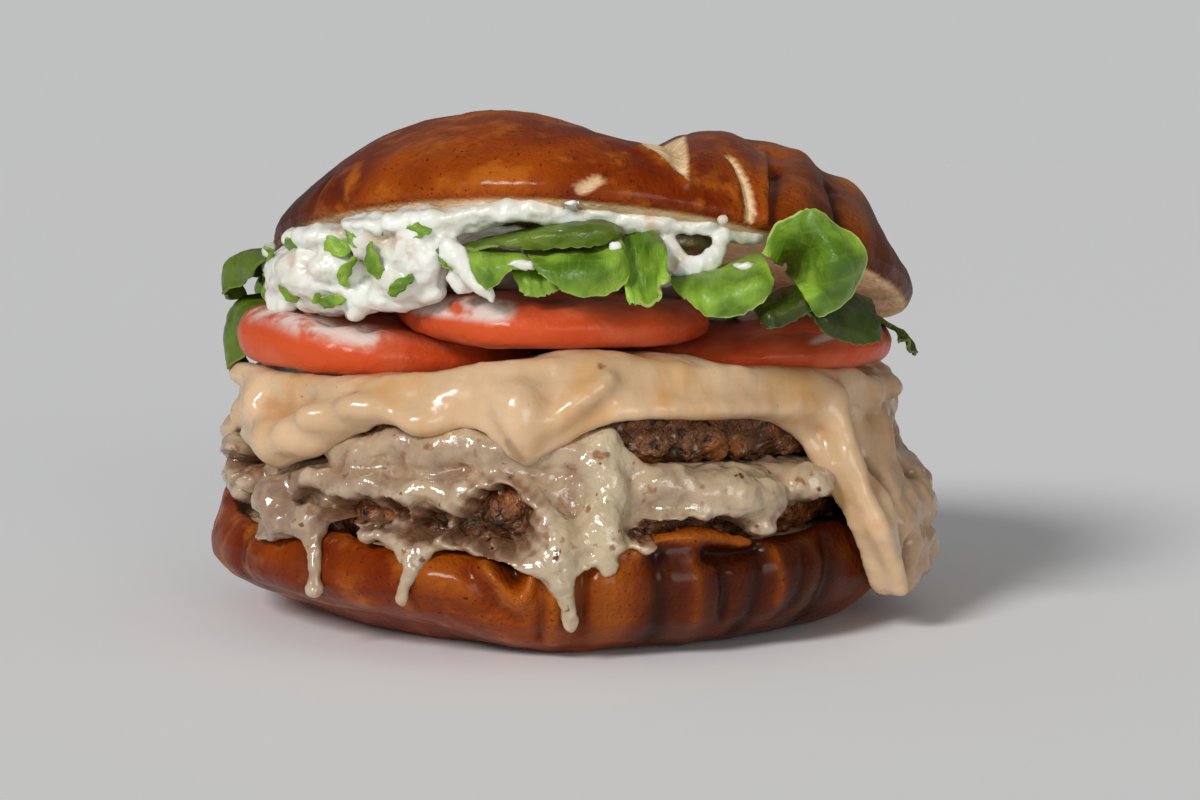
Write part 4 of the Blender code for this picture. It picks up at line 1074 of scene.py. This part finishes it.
# White sauce. A thick creamy sauce spread under the top bun, heaped at the left where it
# covers the tomato and the leaves, and in dabs and streaks along the front.
SAUCE_GRAIN = 0.5
SAUCE_BALLS = (
    ((-33.0, -33.6, 58.0), (10.0, 6.0, 5.2)), ((-21.4, -41.6, 60.4), (6.6, 4.4, 5.4)),
    ((-42.0, -22.6, 57.0), (4.4, 6.0, 4.6)), ((-26.0, -40.6, 65.6), (6.5, 5.0, 1.9)),
    ((-18.0, -42.8, 66.9), (6.5, 5.0, 1.8)), ((-10.0, -44.8, 67.8), (6.5, 5.0, 1.7)),
    ((-2.0, -45.2, 68.1), (6.5, 5.0, 1.7)), ((6.0, -45.0, 67.7), (6.5, 5.0, 1.6)),
    ((14.0, -44.2, 67.0), (6.5, 5.0, 1.6)), ((22.0, -42.4, 65.8), (6.5, 5.0, 1.5)),
    ((29.0, -40.4, 64.2), (5.0, 4.6, 1.4)), ((-34.0, -36.0, 63.4), (6.0, 4.4, 2.0)),
    ((-26.4, -42.3, 66.6), (2.2, 2.0, 1.7)), ((-28.1, -41.6, 62.9), (3.1, 2.4, 2.7)),
    ((-33.3, -38.4, 59.2), (4.4, 3.2, 2.8)), ((-19.6, -45.6, 60.6), (3.4, 2.6, 4.4)),
    ((-22.4, -44.2, 56.8), (3.4, 2.6, 2.8)), ((-40.4, -26.6, 62.6), (2.4, 2.4, 1.8)),
    ((14.8, -46.6, 65.7), (4.4, 2.4, 1.3)), ((9.8, -53.2, 62.6), (1.3, 0.8, 1.3)),
    ((-4.6, -53.6, 60.2), (2.2, 0.8, 0.9)), ((3.3, -50.6, 69.3), (1.8, 1.2, 1.1)),
    ((28.9, -51.4, 59.9), (2.4, 1.3, 1.1)), ((25.9, -48.6, 66.6), (0.8, 0.7, 0.8)),
    ((-13.0, -47.8, 57.6), (2.6, 1.6, 2.4)), ((-30.5, -38.0, 52.4), (1.8, 1.4, 1.7)),
    ((-42.6, -24.6, 52.2), (2.2, 1.6, 1.6)), ((1.6, -54.6, 65.4), (1.1, 0.6, 0.6)),
)
SAUCE_STRINGS = (
    (((-24.4, -45.6, 66.2), (-15.0, -47.2, 66.8), (-6.0, -48.0, 68.0), (-1.9, -48.4, 67.4),
      (5.0, -48.0, 67.0), (16.0, -47.0, 66.4), (22.7, -46.0, 65.2), (29.2, -44.0, 63.8)),
     (1.5, 1.6, 1.8, 1.4, 1.3, 1.2, 1.1, 1.0)),
    (((-7.6, -46.0, 67.3), (-13.9, -46.2, 66.3), (-20.4, -45.4, 64.2), (-24.4, -44.2, 59.6),
      (-26.6, -41.6, 54.4)), (1.7, 2.0, 2.3, 2.2, 1.8)),
    (((-38.6, -29.6, 53.6), (-31.8, -36.4, 54.2), (-25.0, -40.4, 54.6), (-18.0, -43.6, 55.6)),
     (2.3, 2.7, 2.6, 2.2)),
    (((-15.2, -48.6, 62.4), (-12.8, -50.2, 59.6), (-10.3, -51.2, 56.8), (-8.8, -51.4, 55.2)),
     (1.9, 1.7, 1.4, 1.0)),
    (((-46.2, -14.0, 60.6), (-45.8, -18.0, 57.6), (-45.2, -20.8, 54.4), (-44.2, -23.6, 51.4)),
     (1.5, 1.4, 1.3, 1.3)),
    (((17.4, -46.0, 63.8), (18.0, -47.4, 60.6), (21.0, -48.2, 58.9), (24.2, -47.6, 60.4),
      (25.6, -46.0, 63.0)), (1.6, 1.8, 1.9, 1.7, 1.4)),
)


def make_sauce_skin():
    skin, tree, shader = shader_of("White sauce")
    colour = mixed(tree, patches(tree, 120.0, 0.5, 0.2), (0.82, 0.83, 0.77), (0.69, 0.68, 0.58))
    warm = mixed(tree, patches(tree, 210.0, 0.64, 0.06), colour, (0.66, 0.53, 0.41))
    # Painted shade: darker in the hollows of the sauce.
    sunk = mixed(tree, kept_value(tree, "hollow"), warm, (0.52, 0.48, 0.36))
    tree.links.new(sunk, shader.inputs["Base Color"])
    set_inputs(shader, {
        "Roughness": 0.3, "Coat Weight": 0.3, "Coat Roughness": 0.12, "Subsurface Weight": 0.35,
        "Subsurface Radius": (1.0, 0.9, 0.7), "Subsurface Scale": 0.0012,
    })
    relief(tree, shader, patches(tree, 600.0, 0.5, 0.4), 0.0002, 0.6)
    return skin


def make_sauce():
    item = copy_of("sauce", "white_sauce")
    add_balls(item, SAUCE_BALLS)
    for line, widths in SAUCE_STRINGS:
        add_string(item, line, widths)
    knead(item, SAUCE_GRAIN, 7)
    coarsen(item, nearer_than(34.0), 0.06)
    roughen(item, "CLOUDS", 5.5, 2.2)
    roughen(item, "CLOUDS", 2.2, 0.9)
    roughen(item, "CLOUDS", 0.9, 0.25)
    # How deep each point lies in a hollow, for the painted shade there.
    store(item, "hollow", 0.7 * eased(0.05, 0.8, depth_below(item, 40)))
    item.data.materials.append(make_sauce_skin())
    bpy.ops.object.shade_smooth()
    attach(item, "root")
    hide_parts("sauce")


make_sauce()

# Top bun. The upper half of the roll, cut across its top before baking, so that it has
# split open into two lobes with pale crumb between them. It leans back and to the right
# on the leaves and the sauce, and its front edge shows a line of the cut crumb.
CROWN_MIDDLE = (5.9, 0.0, 53.8)
CROWN_LEAN_BACK = math.radians(-12.5)
CROWN_ROLL = math.radians(5.0)
CROWN_TURN = np.array(Matrix.Rotation(CROWN_LEAN_BACK, 3, "X") @ Matrix.Rotation(CROWN_ROLL, 3, "Y"))
# How far it bends up per square millimetre of distance, at the front and at the back.
CROWN_BENDS = (0.0014, 0.0007)
# Lines in the bun itself, upright and unbent, and the furrows and ridges along them.
SPLIT_EDGE = (
    (6.5, -46.4, 11.2), (8.9, -48.1, 9.7), (10.9, -49.4, 8.2), (12.8, -50.5, 6.6), (14.0, -50.9, 5.4),
)
SPLIT_CRUMB = ((13.0, -49.4, 7.4), (12.6, -46.0, 10.2), (12.0, -40.0, 14.4), (11.2, -33.0, 17.4))
SPLIT_VALLEY = ((-7.0, 26.0, 18.0), (-1.0, 4.0, 17.0), (4.5, -16.0, 17.0), (9.0, -30.0, 17.0))
SLIT = (
    (20.4, -42.1, 12.6), (21.5, -43.8, 11.0), (22.5, -45.2, 9.1),
    (23.4, -46.9, 6.3), (24.0, -47.8, 3.7), (24.3, -48.4, 1.1),
)
SCORE_LINE = (
    (6.5, -47.6, 10.6), (4.6, -51.7, 6.9), (2.6, -52.6, 5.6),
    (0.6, -53.5, 3.9), (-1.1, -53.9, 2.4), (-2.6, -53.8, 1.3),
)
TORN_SPOT = ((0.6, -53.5, 3.6), (-1.8, -54.0, 1.9))
CROWN_MARKS = (
    (SPLIT_EDGE, 1.1, -0.9), (SPLIT_CRUMB, 1.7, 1.2), (SPLIT_VALLEY, 2.2, 2.3),
    (SLIT, 0.75, 1.1), (SCORE_LINE, 0.7, 0.55), (((16.0, 4.0, 22.0), (14.0, -20.0, 20.0)), 5.0, 0.6),
    (((27.7, -30.0, 15.0), (27.7, -41.0, 9.2), (27.9, -45.3, 4.8), (28.3, -46.4, 1.5)), 1.3, 1.4),
    (((-44.0, -22.0, 8.6), (-45.1, -2.5, 7.4), (-44.0, 18.0, 8.0)), 8.0, 1.1),
    (((8.6, -26.0, 18.0), (7.4, -8.0, 19.0), (6.4, 10.0, 19.0)), 2.6, 1.0),
    (((27.0, -12.0, 17.0), (27.0, 8.0, 18.0)), 5.0, -0.8),
    (((38.5, -10.0, 13.0), (39.5, 10.0, 13.0)), 5.6, -1.0),
    (((47.0, -16.0, 8.0), (49.0, 8.0, 8.0)), 6.0, 0.8),
    (((25.6, -20.0, 20.0), (25.6, -41.3, 10.6), (26.0, -46.1, 5.2), (26.3, -46.8, 0.7)), 0.9, -0.7),
    (((31.5, -6.0, 22.0), (31.8, -30.0, 14.8), (32.0, -40.0, 8.0), (32.4, -42.6, 2.0)), 2.4, -0.5),
    (((37.0, -27.0, 13.6), (37.2, -29.7, 12.3), (37.9, -33.3, 9.2), (38.7, -36.4, 5.1), (39.2, -37.6, 2.0)),
     1.2, 1.2),
    (((40.4, -8.0, 16.0), (41.0, -27.0, 10.5), (42.2, -32.0, 5.5)), 3.4, -0.8),
    (((-40.0, -33.0, 5.0), (-38.4, -37.6, 1.4)), 1.0, 0.7),
    (((-42.6, -28.0, 8.0), (-44.6, -30.0, 3.0)), 1.2, 0.6),
    (((-30.0, -40.0, 9.0), (-24.0, -44.0, 7.4)), 3.0, -0.4),
    (((-20.0, -30.0, 18.0), (-4.0, -36.0, 17.0)), 3.0, -0.5),
    (((20.0, 30.0, 16.0), (24.0, 44.0, 8.0), (25.0, 52.0, 2.0)), 2.0, 1.2),
    (((-30.0, 26.0, 16.0), (-38.0, 36.0, 7.0)), 2.0, 1.0),
    (((40.0, 6.0, 17.0), (46.0, 9.0, 12.0), (52.0, 12.0, 4.0)), 2.6, 0.7),
    (((-48.0, 2.0, 10.0), (-53.0, 4.0, 3.0)), 1.8, 0.8),
)


def in_crown(points):
    """The points as they lie in the top bun itself, upright and with its bend taken out."""
    local = (points - np.array(CROWN_MIDDLE)) @ CROWN_TURN
    bend = np.where(local[:, 1] < 0.0, CROWN_BENDS[0], CROWN_BENDS[1])
    local[:, 2] -= bend * local[:, 1] ** 2
    return local


def under_crown(spot):
    """Which places lie on the cut face below, well in from its edge."""
    return (in_crown(spot)[:, 2] < 0.5) & (np.hypot(spot[:, 0], spot[:, 1]) < 40.0)


def make_crown():
    item = copy_of("bun_crown", "top_bun")
    knead(item, BUN_GRAIN, 4)
    coarsen(item, under_crown, 0.08)
    points = points_of(item)
    directions = directions_of(item)
    local = in_crown(points)
    x, y, z = local.T
    facing = directions @ CROWN_TURN
    depth = marks_at(local, CROWN_MARKS, facing) * eased(0.3, 1.6, z)
    move_points(item, points - directions * depth[:, None])
    roughen(item, "CLOUDS", 16.0, 0.8)
    roughen(item, "CLOUDS", 3.0, 0.2)
    edge_x = np.interp(z, [place[2] for place in SPLIT_EDGE[::-1]], [place[0] for place in SPLIT_EDGE[::-1]])
    right_of_edge = eased(-0.2, 0.4, x - edge_x) * eased(5.0, 5.8, z)
    split = right_of_edge * eased(0.3, -0.3, x - 14.4 + 0.05 * z) * eased(-12.0, -20.0, y)
    valley = eased(3.6, 2.2, away_from(local, SPLIT_VALLEY, facing)) * eased(-22.0, -14.0, y)
    opened = eased(1.0, 0.55, away_from(local, SLIT, facing))
    torn = 0.75 * eased(1.3, 0.6, away_from(local, TORN_SPOT, facing))
    crumb = np.maximum.reduce([split, valley, opened, torn, eased(0.7, 0.2, z)])
    store(item, "crumb", crumb)
    # Painted highlight on the ridges of the top bun's crust.
    store(item, "ridge", -0.5 * depth)
    # Painted shade: darker in the furrows, over the right of the bun and at its left end.
    baked = 0.6 * np.maximum(eased(27.0, 33.0, x), 0.7 * eased(-36.0, -48.0, x))
    store(item, "crease", (0.36 * depth + baked) * (1.0 - crumb))
    item.data.materials.append(crust)
    bpy.ops.object.shade_smooth()
    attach(item, "root")
    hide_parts("bun_crown")


make_crown()

# Floor. A plain pale board that the burger stands on, wide enough to fill the picture. It
# lies a fraction of a millimetre below the foot of the bun.
FLOOR_WIDTH = 6.0
FLOOR_HEIGHT = -0.0002


def make_floor():
    bpy.ops.object.select_all(action="DESELECT")
    bpy.ops.mesh.primitive_plane_add(size=FLOOR_WIDTH, location=(0.0, 0.0, FLOOR_HEIGHT))
    floor = bpy.context.active_object
    floor.name = "floor"
    bpy.ops.object.transform_apply(location=True, rotation=False, scale=False)
    skin, tree, shader = shader_of("Pale floor")
    set_inputs(shader, {"Base Color": (0.94, 0.94, 0.94, 1.0), "Roughness": 0.8})
    floor.data.materials.append(skin)


make_floor()

# Lights. A broad soft light from the left and front, a weak one from the front at the
# right and a pale even surround, which the camera sees lighter than the burger does.
KEY_PLACE = (-0.43, -0.66, 0.46)
FILL_PLACE = (0.30, -0.90, 0.12)
SURROUND_SHADE = (0.99, 0.995, 1.0, 1.0)
SURROUND_LIT = 0.20
SURROUND_SEEN = 0.532


def add_light(name, place, spread, strength):
    lamp = bpy.data.lights.new(name, "SUN")
    lamp.angle = math.radians(spread)
    lamp.energy = strength
    item = bpy.data.objects.new(name, lamp)
    item.location = place
    item.rotation_euler = Vector(place).to_track_quat("Z", "Y").to_euler()
    bpy.context.collection.objects.link(item)


add_light("key light", KEY_PLACE, 16.0, 2.15)
add_light("fill light", FILL_PLACE, 34.0, 1.0)

surround = bpy.data.worlds.new("Pale surround")
surround.use_nodes = True
backdrop = surround.node_tree.nodes["Background"]
backdrop.inputs["Color"].default_value = SURROUND_SHADE
seen = add_node(surround.node_tree, "ShaderNodeLightPath").outputs["Is Camera Ray"]
brightness = between(surround.node_tree, seen, SURROUND_LIT, SURROUND_SEEN)
surround.node_tree.links.new(brightness, backdrop.inputs["Strength"])
bpy.context.scene.world = surround
bpy.context.scene.view_settings.view_transform = "Standard"

# Camera. Low in front of the burger, as the photograph was taken. Its long lens shows the
# whole burger with some floor and surround on every side.
VIEW_TILT = math.radians(6.0)
VIEW_DISTANCE = 0.5
VIEW_MIDDLE = Vector((0.0075, 0.0, 0.0343))

lens = bpy.data.cameras.new("camera")
lens.lens = 89.25
lens.sensor_width = 36.0
camera = bpy.data.objects.new("camera", lens)
camera.location = VIEW_MIDDLE + Vector((0.0, -math.cos(VIEW_TILT), math.sin(VIEW_TILT))) * VIEW_DISTANCE
camera.rotation_euler = (math.pi / 2 - VIEW_TILT, 0.0, 0.0)
bpy.context.collection.objects.link(camera)
bpy.context.scene.camera = camera
